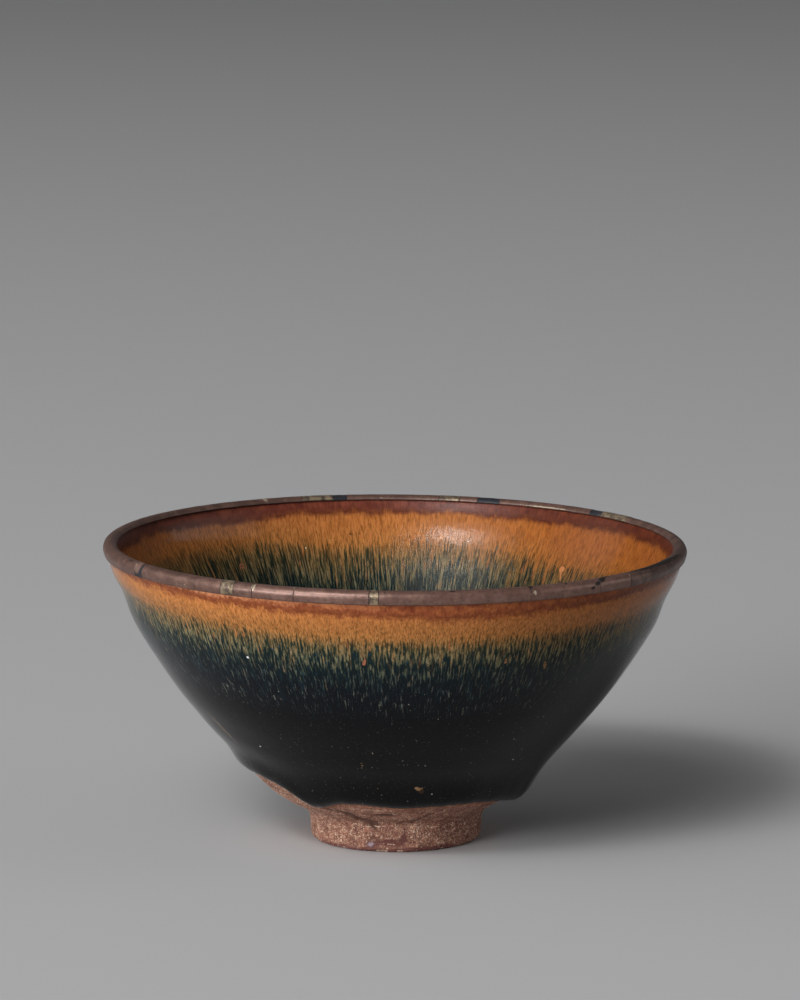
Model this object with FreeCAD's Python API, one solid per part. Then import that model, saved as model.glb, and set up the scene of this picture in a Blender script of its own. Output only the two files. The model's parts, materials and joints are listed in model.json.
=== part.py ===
import FreeCAD, Part
import math
import os

# Tenmoku tea bowl, in millimetres.
# The origin is the centre of the foot's resting face, +Z is up, -Y is the front and +X its right.

# Foot ring, trimmed from the thrown clay
foot_radius = 18.1
foot_flare = 0.3
foot_height = 6.3
foot_ring_width = 5.6
foot_edge_round = 0.9
recess_depth = 2.2
recess_corner_round = 1.2
recess_taper = 0.7

# Thrown wall, up to the round of its lip
lip_radius = 60.43
lip_height = 62.35
lip_round = 0.8
lip_flare_outside_deg = 16.0
lip_flare_inside_deg = 21.0
floor_height = 11.2
wall_off_centre = 0.2
lean_deg = 0.48

# Outside of the wall, from inside the foot to the seat of the binding: shares of its reach out and rise
wall_outside_shares = [
    (-0.050, -0.017), (0.000, 0.000), (0.0945, 0.0345), (0.220, 0.104), (0.313, 0.177),
    (0.4355, 0.285), (0.554, 0.395), (0.680, 0.522), (0.7875, 0.649), (0.871, 0.759),
    (0.916, 0.849), (0.942, 0.895), (0.976, 0.941),
]

# Inside of the wall, from the floor's centre to the lip: shares of its reach out and of its rise
wall_inside_shares = [
    (0.067, 0.002), (0.142, 0.015), (0.251, 0.054), (0.368, 0.118), (0.497, 0.214),
    (0.608, 0.326), (0.718, 0.462), (0.809, 0.598), (0.876, 0.715), (0.923, 0.812),
    (0.966, 0.908),
]

# Glaze coat: thin at the lip, even on the wall, pooled on the floor, a thick roll at its lower edge
coat_thickness = 0.5
coat_at_lip = 0.27
pool_thickness = 1.3
pool_flat_radius = 3.0
roll_thickness = 1.35
roll_gain = 1.7
roll_reach = 8.5
roll_root = 0.7
glaze_line_height = 12.6
coat_panels = 8
columns_per_panel = 9

# Lower edge of the glaze around the bowl: share of a turn from the front by the right, share of its height
glaze_line_shares = [
    (0.000, 0.99), (0.055, 1.00), (0.107, 0.99), (0.160, 0.90), (0.220, 0.79), (0.280, 0.77),
    (0.360, 0.85), (0.440, 0.95), (0.520, 1.02), (0.600, 1.12), (0.680, 1.22), (0.760, 1.28),
    (0.810, 1.30), (0.855, 1.22), (0.880, 1.05), (0.898, 0.88), (0.920, 0.90), (0.937, 1.00),
    (0.955, 1.03),
]

# Roll of glaze, from its lower edge up: share of its reach up the wall, share of its thickness
roll_shares = [(0.02, 0.52), (0.12, 0.88), (0.27, 1.00), (0.46, 0.82), (0.68, 0.52), (0.90, 0.32)]

# Way of the hidden surface from the root of the roll to the middle of the clay
root_way_shares = [0.06, 0.16, 0.32, 0.60, 1.00]

# Coat above the roll, up to the lip: share of the way, share of the coat's thickness
coat_outside_shares = [
    (0.08, 0.80), (0.20, 0.95), (0.34, 1.05), (0.48, 1.00), (0.62, 0.92), (0.74, 0.84), (0.84, 0.76),
    (0.92, 0.66),
]

# Coat inside, from the lip down to the floor: share of the way, share of the coat's thickness
coat_inside_shares = [
    (0.06, 0.62), (0.15, 0.75), (0.26, 0.88), (0.38, 1.00), (0.50, 1.10), (0.62, 1.25),
    (0.73, 1.50), (0.83, 1.90), (0.91, 2.30),
]

# Lacquer bed between the glazed lip and the metal
bed_thickness = 0.1
bed_clearance = 0.025
bed_setback = 0.2

# Metal binding folded over the lip
metal_thickness = 0.35
metal_leg = 0.9
metal_inside_wrap_deg = 68.0
hair_gap = 0.16
patch_proud = 0.04
fill_below = 0.05

# Joints of the binding, in degrees from the front by the right: each opening from where to where
joints_deg = [
    (-66.0, -66.0), (-60.5, -57.6), (-52.0, -52.0), (-41.3, -41.3), (-35.0, -32.0), (-27.9, -27.9),
    (-19.3, -19.3), (-4.8, -3.0), (26.5, 26.5), (42.8, 42.8), (51.6, 51.6), (70.0, 70.0),
    (97.0, 97.0), (121.7, 133.8), (156.9, 162.0), (166.0, 170.5), (190.5, 200.3), (208.7, 208.7),
    (234.0, 234.0), (262.0, 262.0),
]

# What closes the wider openings: gilt patches, and dark lacquer where a piece of metal was lost
gilt_patches_deg = [(-35.0, -32.0), (-4.8, -3.0), (121.7, 130.3), (166.0, 170.5), (193.6, 200.3)]
lacquer_fills_deg = [(-60.5, -57.6), (130.3, 133.8), (156.9, 162.0), (190.5, 193.6)]

ORIGIN = FreeCAD.Vector(0, 0, 0)
UP = FreeCAD.Vector(0, 0, 1)
ACROSS = FreeCAD.Vector(0, 1, 0)
FULL_TURN = 360.0
FRONT_DEG = -90.0
SPLINE_DEGREE = 3


def spot(radius, height):
    """A point of an outline, drawn in the plane of the axis and +X."""
    return FreeCAD.Vector(radius, 0, height)


def turned(edges, start_deg=0.0, sweep_deg=FULL_TURN):
    """Solid of a closed outline swept around the bowl's axis."""
    face = Part.Face(Part.Wire(edges))
    face.rotate(ORIGIN, UP, start_deg)
    return face.revolve(ORIGIN, UP, sweep_deg)


def leaned(shape):
    """The wall sits a little to the left of its foot and dips a little to the right."""
    shape.rotate(spot(0, lip_height), ACROSS, lean_deg)
    shape.translate(spot(-wall_off_centre, 0))
    return shape


def lip_spot(radius, angle_deg):
    """A point around the middle of the lip's round, at an angle from +X towards +Z."""
    angle = math.radians(angle_deg)
    return spot(lip_radius + radius * math.cos(angle), lip_height + radius * math.sin(angle))


def lip_arc(radius, start_deg, end_deg):
    """Arc around the middle of the lip's round."""
    middle_deg = (start_deg + end_deg) / 2
    return Part.Arc(lip_spot(radius, start_deg), lip_spot(radius, middle_deg),
                    lip_spot(radius, end_deg)).toShape()


# Where the wall's outside and inside meet the round of the lip
OUTSIDE_DEG = -lip_flare_outside_deg
INSIDE_DEG = 180.0 - lip_flare_inside_deg


def between(start, end, shares):
    """Points at shares of the way out and up from one spot to another."""
    reach = end - start
    return [start + spot(reach.x * out, reach.z * rise) for out, rise in shares]


def lip_tangent(angle_deg):
    """Direction of travel around the lip's round, from outside to inside."""
    angle = math.radians(angle_deg)
    return spot(-math.sin(angle), math.cos(angle))


def seat_bottom():
    """Foot of the short straight seat outside the lip, which the binding's leg covers."""
    return lip_spot(lip_round, OUTSIDE_DEG) - lip_tangent(OUTSIDE_DEG) * metal_leg


def wall_outside():
    """Curve of the bare clay outside, from within the foot up to the seat of the binding."""
    start = spot(foot_radius, foot_height)
    end = seat_bottom()
    points = between(start, end, wall_outside_shares) + [end]
    curve = Part.BSplineCurve()
    curve.interpolate(Points=points, InitialTangent=points[1] - points[0],
                      FinalTangent=lip_tangent(OUTSIDE_DEG))
    return curve.toShape()


def wall_inside():
    """Curve of the bare clay inside, from the lip's round down to the middle of the floor."""
    floor = spot(0, floor_height)
    end = lip_spot(lip_round, INSIDE_DEG)
    points = [end] + between(floor, end, wall_inside_shares)[::-1] + [floor]
    curve = Part.BSplineCurve()
    curve.interpolate(Points=points, InitialTangent=lip_tangent(INSIDE_DEG),
                      FinalTangent=spot(-1, 0))
    return curve.toShape()


def thrown_wall():
    """The bowl's clay wall and floor, without its foot."""
    outside = wall_outside()
    inside = wall_inside()
    start = outside.valueAt(outside.FirstParameter)
    floor = spot(0, floor_height)
    underneath = spot(0, start.z)
    return turned([
        outside,
        Part.makeLine(seat_bottom(), lip_spot(lip_round, OUTSIDE_DEG)),
        lip_arc(lip_round, OUTSIDE_DEG, INSIDE_DEG),
        inside,
        Part.makeLine(floor, underneath),
        Part.makeLine(underneath, start),
    ])


def foot():
    """Low foot ring with a shallow recess, its resting edge rounded by wear."""
    top = (foot_height + floor_height) / 2
    flare_at_top = foot_flare * top / foot_height
    ring_inside = foot_radius - foot_ring_width
    recess_edge = ring_inside - recess_taper
    resting_edge = spot(foot_radius - foot_edge_round, 0)
    side_start = spot(foot_radius, foot_edge_round)
    bend = foot_edge_round * (1 - math.cos(math.radians(45)))
    edge_middle = spot(foot_radius - bend, bend)
    side_top = spot(foot_radius + flare_at_top, top)
    corner_start = spot(recess_edge - recess_corner_round, recess_depth)
    outline = [
        Part.makeLine(spot(ring_inside, 0), resting_edge),
        Part.Arc(resting_edge, edge_middle, side_start).toShape(),
        Part.makeLine(side_start, side_top),
        Part.makeLine(side_top, spot(0, top)),
        Part.makeLine(spot(0, top), spot(0, recess_depth)),
        Part.makeLine(spot(0, recess_depth), corner_start),
    ]
    bend = Part.BezierCurve()
    bend.setPoles([corner_start, spot(recess_edge, recess_depth), spot(ring_inside, 0)])
    outline.append(bend.toShape())
    return turned(outline)


def smooth_around(shares, turn):
    """Value of a closed table of shares at one share of a turn, by cubic spans between its rows."""
    count = len(shares)
    for row in range(count):
        before, here, after, beyond = (shares[(row + step) % count] for step in (-1, 0, 1, 2))
        span = (after[0] - here[0]) % 1
        along = (turn - here[0]) % 1
        if along < span:
            break
    span_before = (here[0] - before[0]) % 1
    span_beyond = (beyond[0] - after[0]) % 1
    slope_here = (after[1] - before[1]) / (span_before + span)
    slope_after = (beyond[1] - here[1]) / (span + span_beyond)
    t = along / span
    return ((2 * t**3 - 3 * t**2 + 1) * here[1] + (t**3 - 2 * t**2 + t) * span * slope_here
            + (3 * t**2 - 2 * t**3) * after[1] + (t**3 - t**2) * span * slope_after)


def run_to_height(edge, height):
    """Length along an edge that rises, up to where it reaches a height."""
    low, high = 0.0, edge.Length
    for _ in range(40):
        middle = (low + high) / 2
        if edge.valueAt(edge.getParameterByLength(middle)).z < height:
            low = middle
        else:
            high = middle
    return low


def off_edge(edge, run, thickness, side):
    """A point off an edge: at a length along it, by a thickness, to its right (1) or its left (-1)."""
    parameter = edge.getParameterByLength(run)
    along = edge.tangentAt(parameter)
    return edge.valueAt(parameter) + spot(along.z, -along.x) * thickness * side


def coat_column(turn, outside, inside):
    """Stretches of points of the glazed surface in one direction, from the floor over the lip to its root."""
    line_share = smooth_around(glaze_line_shares, turn)
    edge_run = run_to_height(outside, glaze_line_height * line_share)
    roll = roll_thickness / line_share**roll_gain
    reach = roll_reach / line_share
    upper_run = outside.Length - edge_run - reach

    floor_points = [spot(pool_flat_radius, floor_height + pool_thickness)]
    for way, share in coat_inside_shares[::-1]:
        floor_points.append(off_edge(inside, inside.Length * way, coat_thickness * share, 1))

    lip_angles = [INSIDE_DEG + (OUTSIDE_DEG - INSIDE_DEG) * step / 4 for step in range(5)]
    lip_points = [lip_spot(lip_round + coat_at_lip, angle) for angle in lip_angles]

    wall_points = [off_edge(outside, outside.Length, coat_at_lip, 1)]
    for way, share in coat_outside_shares[::-1]:
        run = edge_run + reach + upper_run * way
        wall_points.append(off_edge(outside, run, coat_thickness * share, 1))

    roll_points = [off_edge(outside, edge_run + reach * way, roll * share, 1)
                   for way, share in roll_shares[::-1]]
    roll_points.append(off_edge(outside, edge_run, 0, 1))

    root = off_edge(outside, edge_run, roll_root, -1)
    cap = spot(foot_radius - foot_ring_width, (recess_depth + floor_height) / 2)
    root_points = [root] + [root + (cap - root) * way for way in root_way_shares]
    return [floor_points, lip_points, wall_points, roll_points, root_points]


def mean_parameters(columns):
    """Shared spline parameters for all columns, by the mean length from point to point."""
    parameters = [0.0]
    for place in range(1, len(columns[0])):
        lengths = [column[place].distanceToPoint(column[place - 1]) for column in columns]
        parameters.append(parameters[-1] + sum(lengths) / len(lengths))
    return parameters


def skin(columns, parameters):
    """Smooth surface around the axis through columns of points, each in its own direction."""
    count = len(columns)
    step = 2 * math.pi / count
    swell = 3 / (2 + math.cos(step))
    poles = []
    for number, points in enumerate(columns):
        curve = Part.BSplineCurve()
        curve.interpolate(Points=points, Parameters=parameters)
        angle = math.radians(FRONT_DEG) + number * step
        poles.append([FreeCAD.Vector(pole.x * swell * math.cos(angle),
                                     pole.x * swell * math.sin(angle), pole.z)
                      for pole in curve.getPoles()])
    surface = Part.BSplineSurface()
    surface.buildFromPolesMultsKnots(
        poles, [1] * (count + 1), curve.getMultiplicities(), list(range(count + 1)),
        curve.getKnots(), True, False, SPLINE_DEGREE, curve.Degree)
    return surface


def glazed_bowl():
    """Solid inside the glazed surface: from the pool on the floor over the lip to the lower edge."""
    outside = wall_outside()
    inside = wall_inside()
    count = coat_panels * columns_per_panel
    stretched = [coat_column(number / count, outside, inside) for number in range(count)]
    columns = [sum(stretches, []) for stretches in stretched]
    parameters = mean_parameters(columns)
    surface = skin(columns, parameters)

    starts = [0]
    for stretch in stretched[0]:
        starts.append(starts[-1] + len(stretch))
    heights = [parameters[place] for place in starts[:-1]] + [parameters[-1]]
    turns = [(first, first + columns_per_panel) for first in range(0, count, columns_per_panel)]
    faces = []
    for low, high in zip(heights, heights[1:]):
        faces += [surface.toShape(start, end, low, high) for start, end in turns]
    for height in (heights[0], heights[-1]):
        rim = surface.vIso(height)
        faces.append(Part.Face(Part.Wire([rim.toShape(start, end) for start, end in turns])))
    shell = Part.Shell(faces)
    shell.sewShape()
    return Part.makeSolid(shell)


def fold_outline(inner_radius, outer_radius, setback):
    """Outline of a strip folded over the lip, from its outer leg to its inner edge."""
    down = lip_tangent(OUTSIDE_DEG) * -(metal_leg - setback)
    wrap_deg = 90.0 + metal_inside_wrap_deg - math.degrees(setback / outer_radius)
    outer_top = lip_spot(outer_radius, OUTSIDE_DEG)
    inner_top = lip_spot(inner_radius, OUTSIDE_DEG)
    return [
        Part.makeLine(outer_top + down, outer_top),
        lip_arc(outer_radius, OUTSIDE_DEG, wrap_deg),
        Part.makeLine(lip_spot(outer_radius, wrap_deg), lip_spot(inner_radius, wrap_deg)),
        lip_arc(inner_radius, wrap_deg, OUTSIDE_DEG),
        Part.makeLine(inner_top, inner_top + down),
        Part.makeLine(inner_top + down, outer_top + down),
    ]


BED_INSIDE = lip_round + coat_at_lip + bed_clearance
BED_OUTSIDE = BED_INSIDE + bed_thickness
METAL_INSIDE = BED_OUTSIDE + bed_clearance
METAL_OUTSIDE = METAL_INSIDE + metal_thickness


def lacquer_bed():
    """Film of lacquer that fills the space between the glazed lip and the metal."""
    return turned(fold_outline(BED_INSIDE, BED_OUTSIDE, bed_setback))


def folded_length(start_deg, end_deg, proud):
    """A length of metal or lacquer over the lip between two directions, with half a hair gap at each end."""
    trim_deg = math.degrees(hair_gap / 2 / lip_radius)
    start = FRONT_DEG + start_deg + trim_deg
    outline = fold_outline(METAL_INSIDE, METAL_OUTSIDE + proud, 0)
    return turned(outline, start, end_deg - start_deg - 2 * trim_deg)


def binding():
    """The strips of the binding, and the gilt patches and lacquer fills between them, by name."""
    pieces = {}
    for number, joint in enumerate(joints_deg):
        following = joints_deg[(number + 1) % len(joints_deg)]
        end_deg = joint[1] + (following[0] - joint[1]) % FULL_TURN
        pieces["rim_strip_%02d" % (number + 1)] = folded_length(joint[1], end_deg, 0)
    for number, ends in enumerate(gilt_patches_deg):
        pieces["gilt_patch_%02d" % (number + 1)] = folded_length(ends[0], ends[1], patch_proud)
    for number, ends in enumerate(lacquer_fills_deg):
        pieces["lacquer_fill_%02d" % (number + 1)] = folded_length(ends[0], ends[1], -fill_below)
    return pieces


def bowl():
    """Every piece of the bowl, by name."""
    wall = thrown_wall()
    pieces = {"glaze_coat": leaned(glazed_bowl().cut(wall)), "rim_lacquer_bed": leaned(lacquer_bed())}
    for name, piece in binding().items():
        pieces[name] = leaned(piece)
    pieces["stoneware_body"] = leaned(wall).fuse(foot()).removeSplitter()
    return pieces


os.makedirs("parts", exist_ok=True)
for name, piece in bowl().items():
    piece.exportStep("parts/%s.step" % name)
    print(name, "solids", len(piece.Solids), "valid", piece.isValid(), "volume %.3f" % piece.Volume)
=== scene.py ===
# %% [markdown]
# # A tenmoku tea bowl with a bound lip
# This lesson dresses the measured frame of a small iron-glazed tea bowl. The frame gives exact solids: the
# thrown clay, the coat of glaze, the lacquer on the lip and the strips of metal folded over it. They have the
# right sizes, but a smooth solid looks like plastic. Each piece is therefore made again here as a finer mesh
# on the same outlines, with the waves, grains, nicks and joints that a potter, a kiln and a mender leave
# behind.
#
# The first step empties the scene and loads the frame.

import json
import math

import bpy
import numpy as np
from mathutils import Euler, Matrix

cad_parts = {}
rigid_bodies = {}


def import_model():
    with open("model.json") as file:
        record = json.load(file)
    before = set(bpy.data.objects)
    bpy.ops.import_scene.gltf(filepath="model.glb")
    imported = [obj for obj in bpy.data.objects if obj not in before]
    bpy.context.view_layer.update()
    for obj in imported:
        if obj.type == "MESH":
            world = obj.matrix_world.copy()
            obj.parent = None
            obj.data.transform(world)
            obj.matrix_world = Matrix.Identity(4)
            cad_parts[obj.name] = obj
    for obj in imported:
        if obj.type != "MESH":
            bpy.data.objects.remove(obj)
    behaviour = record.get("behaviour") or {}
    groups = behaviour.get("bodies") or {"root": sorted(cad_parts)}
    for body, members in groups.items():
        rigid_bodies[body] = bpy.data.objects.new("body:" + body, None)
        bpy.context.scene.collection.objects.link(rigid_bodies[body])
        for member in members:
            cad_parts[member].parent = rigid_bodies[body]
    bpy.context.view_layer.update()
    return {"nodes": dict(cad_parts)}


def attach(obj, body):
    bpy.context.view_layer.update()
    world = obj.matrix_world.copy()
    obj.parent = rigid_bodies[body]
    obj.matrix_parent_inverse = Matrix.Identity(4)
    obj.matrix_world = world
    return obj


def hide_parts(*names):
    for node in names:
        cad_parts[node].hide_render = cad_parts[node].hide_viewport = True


for leftover in list(bpy.data.objects):
    bpy.data.objects.remove(leftover)
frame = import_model()

# %% [markdown]
# ## The view
# The bowl is seen from a little above its lip, through a long lens, so its outline hardly widens towards the
# viewer. The tilt came from the flatness of the lip's ellipse: an ellipse a sixth as high as it is wide means
# a view about nine degrees above the horizon. The camera could be aimed with a constraint, but fixed numbers
# are easier to check.

# %% Place the camera
view = bpy.data.objects.new("bowl_view", bpy.data.cameras.new("bowl_view"))
bpy.context.scene.collection.objects.link(view)
view.location = (0.00085, -1.08557, 0.25015)
view.rotation_euler = (math.radians(80.708), 0, 0)
view.data.sensor_fit = "VERTICAL"
view.data.sensor_height = 36
view.data.lens = 186.5
bpy.context.scene.camera = view
bpy.context.scene.view_settings.view_transform = "Standard"
print("camera %.0f mm lens, %.2f m away" % (view.data.lens, view.location.length))

# %% [markdown]
# ## Smooth outlines
# A thrown wall is one long easy curve. It could be drawn as a curve object and turned with the Screw
# modifier, but here the outline changes with the direction, because the glaze ran further down on one side.
# So the outlines are worked out as numbers first: cubic spans through a few measured points, which keep their
# bend from span to span. All lengths are millimetres until the last step, when a mesh is written in metres.

# %% Cubic spans through points
def slopes_through(at, values, first=None, last=None):
    """Slopes at the points that give cubic spans an even bend from span to span."""
    wide = (-1,) + (1,) * (values.ndim - 1)
    gap = np.diff(at)
    rise = np.diff(values, axis=0) / gap.reshape(wide)
    rows = np.zeros((len(at), len(at)))
    known = np.zeros_like(values)
    for place in range(1, len(at) - 1):
        before, after = gap[place - 1], gap[place]
        rows[place, place - 1:place + 2] = 1 / before, 2 / before + 2 / after, 1 / after
        known[place] = 3 * (rise[place - 1] / before + rise[place] / after)
    rows[0, 0] = rows[-1, -1] = 1
    known[0] = ((2 * gap[0] + gap[1]) * rise[0] - gap[0] * rise[1]) / (gap[0] + gap[1])
    known[-1] = ((2 * gap[-1] + gap[-2]) * rise[-1] - gap[-1] * rise[-2]) / (gap[-1] + gap[-2])
    if first is not None:
        known[0] = first
    if last is not None:
        known[-1] = last
    return np.linalg.solve(rows, known.reshape(len(at), -1)).reshape(values.shape)


def along_spans(at, values, where, first=None, last=None):
    """Values of the cubic spans at many places along them."""
    slopes = slopes_through(at, values, first, last)
    place = np.clip(np.searchsorted(at, where, side="right") - 1, 0, len(at) - 2)
    wide = (-1,) + (1,) * (values.ndim - 1)
    gap = np.diff(at)[place].reshape(wide)
    t = (where - at[place]).reshape(wide) / gap
    return ((2 * t**3 - 3 * t**2 + 1) * values[place] + (t**3 - 2 * t**2 + t) * gap * slopes[place]
            + (3 * t**2 - 2 * t**3) * values[place + 1] + (t**3 - t**2) * gap * slopes[place + 1])


def line_through(points, first=None, last=None, count=3000):
    """A finely stepped line through points: its spots, its directions and the length up to each spot."""
    points = np.array(points, float)
    at = np.concatenate([[0], np.cumsum(np.linalg.norm(np.diff(points, axis=0), axis=1))])
    spots = along_spans(at, points, np.linspace(0, at[-1], count), first, last)
    steps = np.diff(spots, axis=0)
    run = np.concatenate([[0], np.cumsum(np.linalg.norm(steps, axis=1))])
    ways = np.gradient(spots, run, axis=0)
    return {"spots": spots, "ways": ways, "run": run, "length": run[-1]}


def off_line(line, run, thickness, side):
    """Spots at a length along a line, moved by a thickness to its right (1) or its left (-1)."""
    run = np.asarray(run, float)
    spot = np.stack([np.interp(run, line["run"], line["spots"][:, axis]) for axis in (0, 1)], -1)
    way = np.stack([np.interp(run, line["run"], line["ways"][:, axis]) for axis in (0, 1)], -1)
    square = np.stack([way[..., 1], -way[..., 0]], -1)
    return spot + square * (np.asarray(thickness, float) * side)[..., None]


print("a straight line of 3, 4 is", line_through([(0, 0), (1.5, 2), (3, 4)])["length"], "long")

# %% [markdown]
# ## The thrown wall
# The bowl is a wide cone with a slightly pinched neck under its lip, which is the mark of this kind of bowl:
# the neck tells the drinker how far to fill it. The sizes below are the ones of the frame, so that the finer
# meshes lie on the same solids. The wall leans by half a degree, as it came off the wheel and out of the
# kiln.

# %% Sizes and outlines of the clay
FOOT_RADIUS, FOOT_FLARE, FOOT_HEIGHT, FOOT_RING, FOOT_ROUND = 18.1, 0.3, 6.3, 5.6, 0.9
RECESS_DEPTH, RECESS_CORNER, RECESS_TAPER = 2.2, 1.2, 0.7
LIP_RADIUS, LIP_HEIGHT, LIP_ROUND, FLOOR_HEIGHT, SEAT = 60.43, 62.35, 0.8, 11.2, 0.9
OUTSIDE_DEG, INSIDE_DEG, LEAN_DEG, OFF_CENTRE = -16.0, 159.0, 0.48, 0.2

outside_shares = [
    (-0.050, -0.017), (0.000, 0.000), (0.0945, 0.0345), (0.220, 0.104), (0.313, 0.177), (0.4355, 0.285),
    (0.554, 0.395), (0.680, 0.522), (0.7875, 0.649), (0.871, 0.759), (0.916, 0.849), (0.942, 0.895),
    (0.976, 0.941), (1, 1),
]
inside_shares = [
    (0.000, 0.000), (0.067, 0.002), (0.142, 0.015), (0.251, 0.054), (0.368, 0.118), (0.497, 0.214),
    (0.608, 0.326), (0.718, 0.462), (0.809, 0.598), (0.876, 0.715), (0.923, 0.812), (0.966, 0.908), (1, 1),
]


def round_lip(radius, angle_deg):
    """A spot around the middle of the lip's round."""
    angle = np.radians(angle_deg)
    return np.stack([LIP_RADIUS + radius * np.cos(angle), LIP_HEIGHT + radius * np.sin(angle)], -1)


def lip_way(angle_deg):
    """Direction of travel around the lip, from outside to inside."""
    angle = math.radians(angle_deg)
    return np.array([-math.sin(angle), math.cos(angle)])


def between(start, end, shares):
    return start + np.array(shares) * (np.array(end) - start)


foot_top = np.array([FOOT_RADIUS, FOOT_HEIGHT])
seat_foot = round_lip(LIP_ROUND, OUTSIDE_DEG) - lip_way(OUTSIDE_DEG) * SEAT
outside_points = between(foot_top, seat_foot, outside_shares)
start_way = outside_points[1] - outside_points[0]
wall_outside = line_through(outside_points, start_way / np.linalg.norm(start_way), lip_way(OUTSIDE_DEG))
floor_middle = np.array([0, FLOOR_HEIGHT])
inside_points = between(floor_middle, round_lip(LIP_ROUND, INSIDE_DEG), inside_shares)[::-1]
wall_inside = line_through(inside_points, lip_way(INSIDE_DEG), np.array([-1.0, 0.0]))
print("wall: %.1f mm outside, %.1f mm inside" % (wall_outside["length"], wall_inside["length"]))

# %% [markdown]
# ## Turning outlines into meshes
# A ring of columns around the axis, joined row by row, is what a lathe would cut. Blender's Spin and Screw
# tools do that for one outline; with an outline for every direction, the faces are listed directly.
# Directions are counted in degrees from the front by the bowl's right. Poles close the ends where the rows
# meet on the axis.

# %% Meshes around the axis
METRE = 1000  # in millimetres


def lean(places):
    """Tips the wall by its half degree, about the height of its lip, and sets it a little to the left."""
    angle = math.radians(LEAN_DEG)
    x, up = places[..., 0].copy(), places[..., 2] - LIP_HEIGHT
    places[..., 0] = x * math.cos(angle) + up * math.sin(angle) - OFF_CENTRE
    places[..., 2] = LIP_HEIGHT + up * math.cos(angle) - x * math.sin(angle)
    return places


def around(outlines, degrees):
    """Places in space of outlines (rows, columns, 2), one for each direction."""
    angle = np.radians(np.asarray(degrees) - 90)
    return np.stack([outlines[..., 0] * np.cos(angle), outlines[..., 0] * np.sin(angle), outlines[..., 1]],
                    -1)


def grid_faces(rows, columns, closed):
    """Four-sided faces between neighbouring rows and columns, counted row by row."""
    row, column = np.meshgrid(np.arange(rows - 1), np.arange(columns if closed else columns - 1),
                              indexing="ij")
    beside = (column + 1) % columns
    corners = [row * columns + column, row * columns + beside, (row + 1) * columns + beside,
               (row + 1) * columns + column]
    return np.stack(corners, -1).reshape(-1, 4)


def make_mesh(name, places, faces, marks=None):
    """A smooth-shaded piece from places in millimetres, with a number per point for each named mark."""
    mesh = bpy.data.meshes.new(name)
    mesh.from_pydata((places.reshape(-1, 3) / METRE).tolist(), [], [list(map(int, face)) for face in faces])
    mesh.validate()
    for mark, values in (marks or {}).items():
        layer = mesh.attributes.new(mark, "FLOAT", "POINT")
        layer.data.foreach_set("value", np.asarray(values, np.float32).ravel())
    mesh.shade_smooth()
    piece = bpy.data.objects.new(name, mesh)
    bpy.context.scene.collection.objects.link(piece)
    print(name, "points", len(mesh.vertices), "faces", len(mesh.polygons))
    return piece


def turned_mesh(name, places, marks, top_pole=None, end_pole=None):
    """A piece from rows of places around the axis, with a pole before the first or after the last row."""
    rows, columns = places.shape[:2]
    points = [places.reshape(-1, 3)]
    faces = list(grid_faces(rows, columns, True)[:, ::-1])
    values = {mark: [array.ravel()] for mark, array in marks.items()}
    for pole, row, order in ((top_pole, 0, -1), (end_pole, rows - 1, 1)):
        if pole is None:
            continue
        number = sum(len(part) for part in points)
        points.append(np.array([pole]))
        ring = row * columns + np.arange(columns)
        faces += [[a, b, number][::order] for a, b in zip(np.roll(ring, -1), ring)]
        for mark, array in marks.items():
            values[mark].append([array[row].mean()])
    joined = {mark: np.concatenate(parts) for mark, parts in values.items()}
    return make_mesh(name, np.concatenate(points), faces, joined)

# %% [markdown]
# The uneven things on a handmade piece have to come out the same at every run. Waves are sums of a few sines
# that close around the turn, and grain is white noise softened over a chosen distance. A Displace modifier
# with a texture could do this too, but plain numbers also serve the outlines. They all come from one seed, so
# the bowl never changes.

# %% Waves and grain
chance = np.random.default_rng(1127)
ENDLESS = (1e9,)  # for waves that don't change down the wall


def waves(degrees, run, counts, lengths, amount=1.0):
    """A gentle unevenness that closes around the turn: waves per turn, and their length along the wall."""
    total = 0
    for count in counts:
        for length in lengths:
            shift, slide = chance.uniform(0, 2 * math.pi, 2)
            total = total + (np.sin(np.radians(degrees) * count + shift)
                             * np.cos(run * 2 * math.pi / length + slide))
    return amount * total / math.sqrt(len(counts) * len(lengths))


def grain(shape, down, across):
    """Softened white noise over a grid that closes across, with a spread of one."""
    noise = chance.standard_normal(shape)
    down_wave = np.fft.fftfreq(shape[0])[:, None] * down
    across_wave = np.fft.fftfreq(shape[1])[None, :] * across
    soft = np.exp(-2 * (math.pi**2) * (down_wave**2 + across_wave**2))
    noise = np.fft.ifft2(np.fft.fft2(noise) * soft).real
    return noise / noise.std()


def closed_table(rows, degrees):
    """Values of a table of (degrees, value) rows that closes around the turn."""
    at, values = zip(*sorted((angle % 360, value) for angle, value in rows))
    return np.interp(np.asarray(degrees) % 360, at, values, period=360)


def fade_in(value, start, reach):
    """Nothing up to a start, and from there evenly up to one over a reach."""
    return np.clip((value - start) / reach, 0, 1)


print("wave sample:", waves(np.arange(0, 360, 90.0), 0.0, (2, 3), (40,)).round(2))

# %% [markdown]
# ## The coat of glaze
# The bowl was dipped upside down and fired upright. The molten glaze crept down the wall: it is thin at the
# lip, even on the slope, pooled on the floor and gathered in a fat roll above the bare foot, fattest where it
# ran furthest. The same few measures as in the frame give that line in every direction. A Displace modifier
# could wave a plain lathe, but a measured line needs measured columns.

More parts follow.
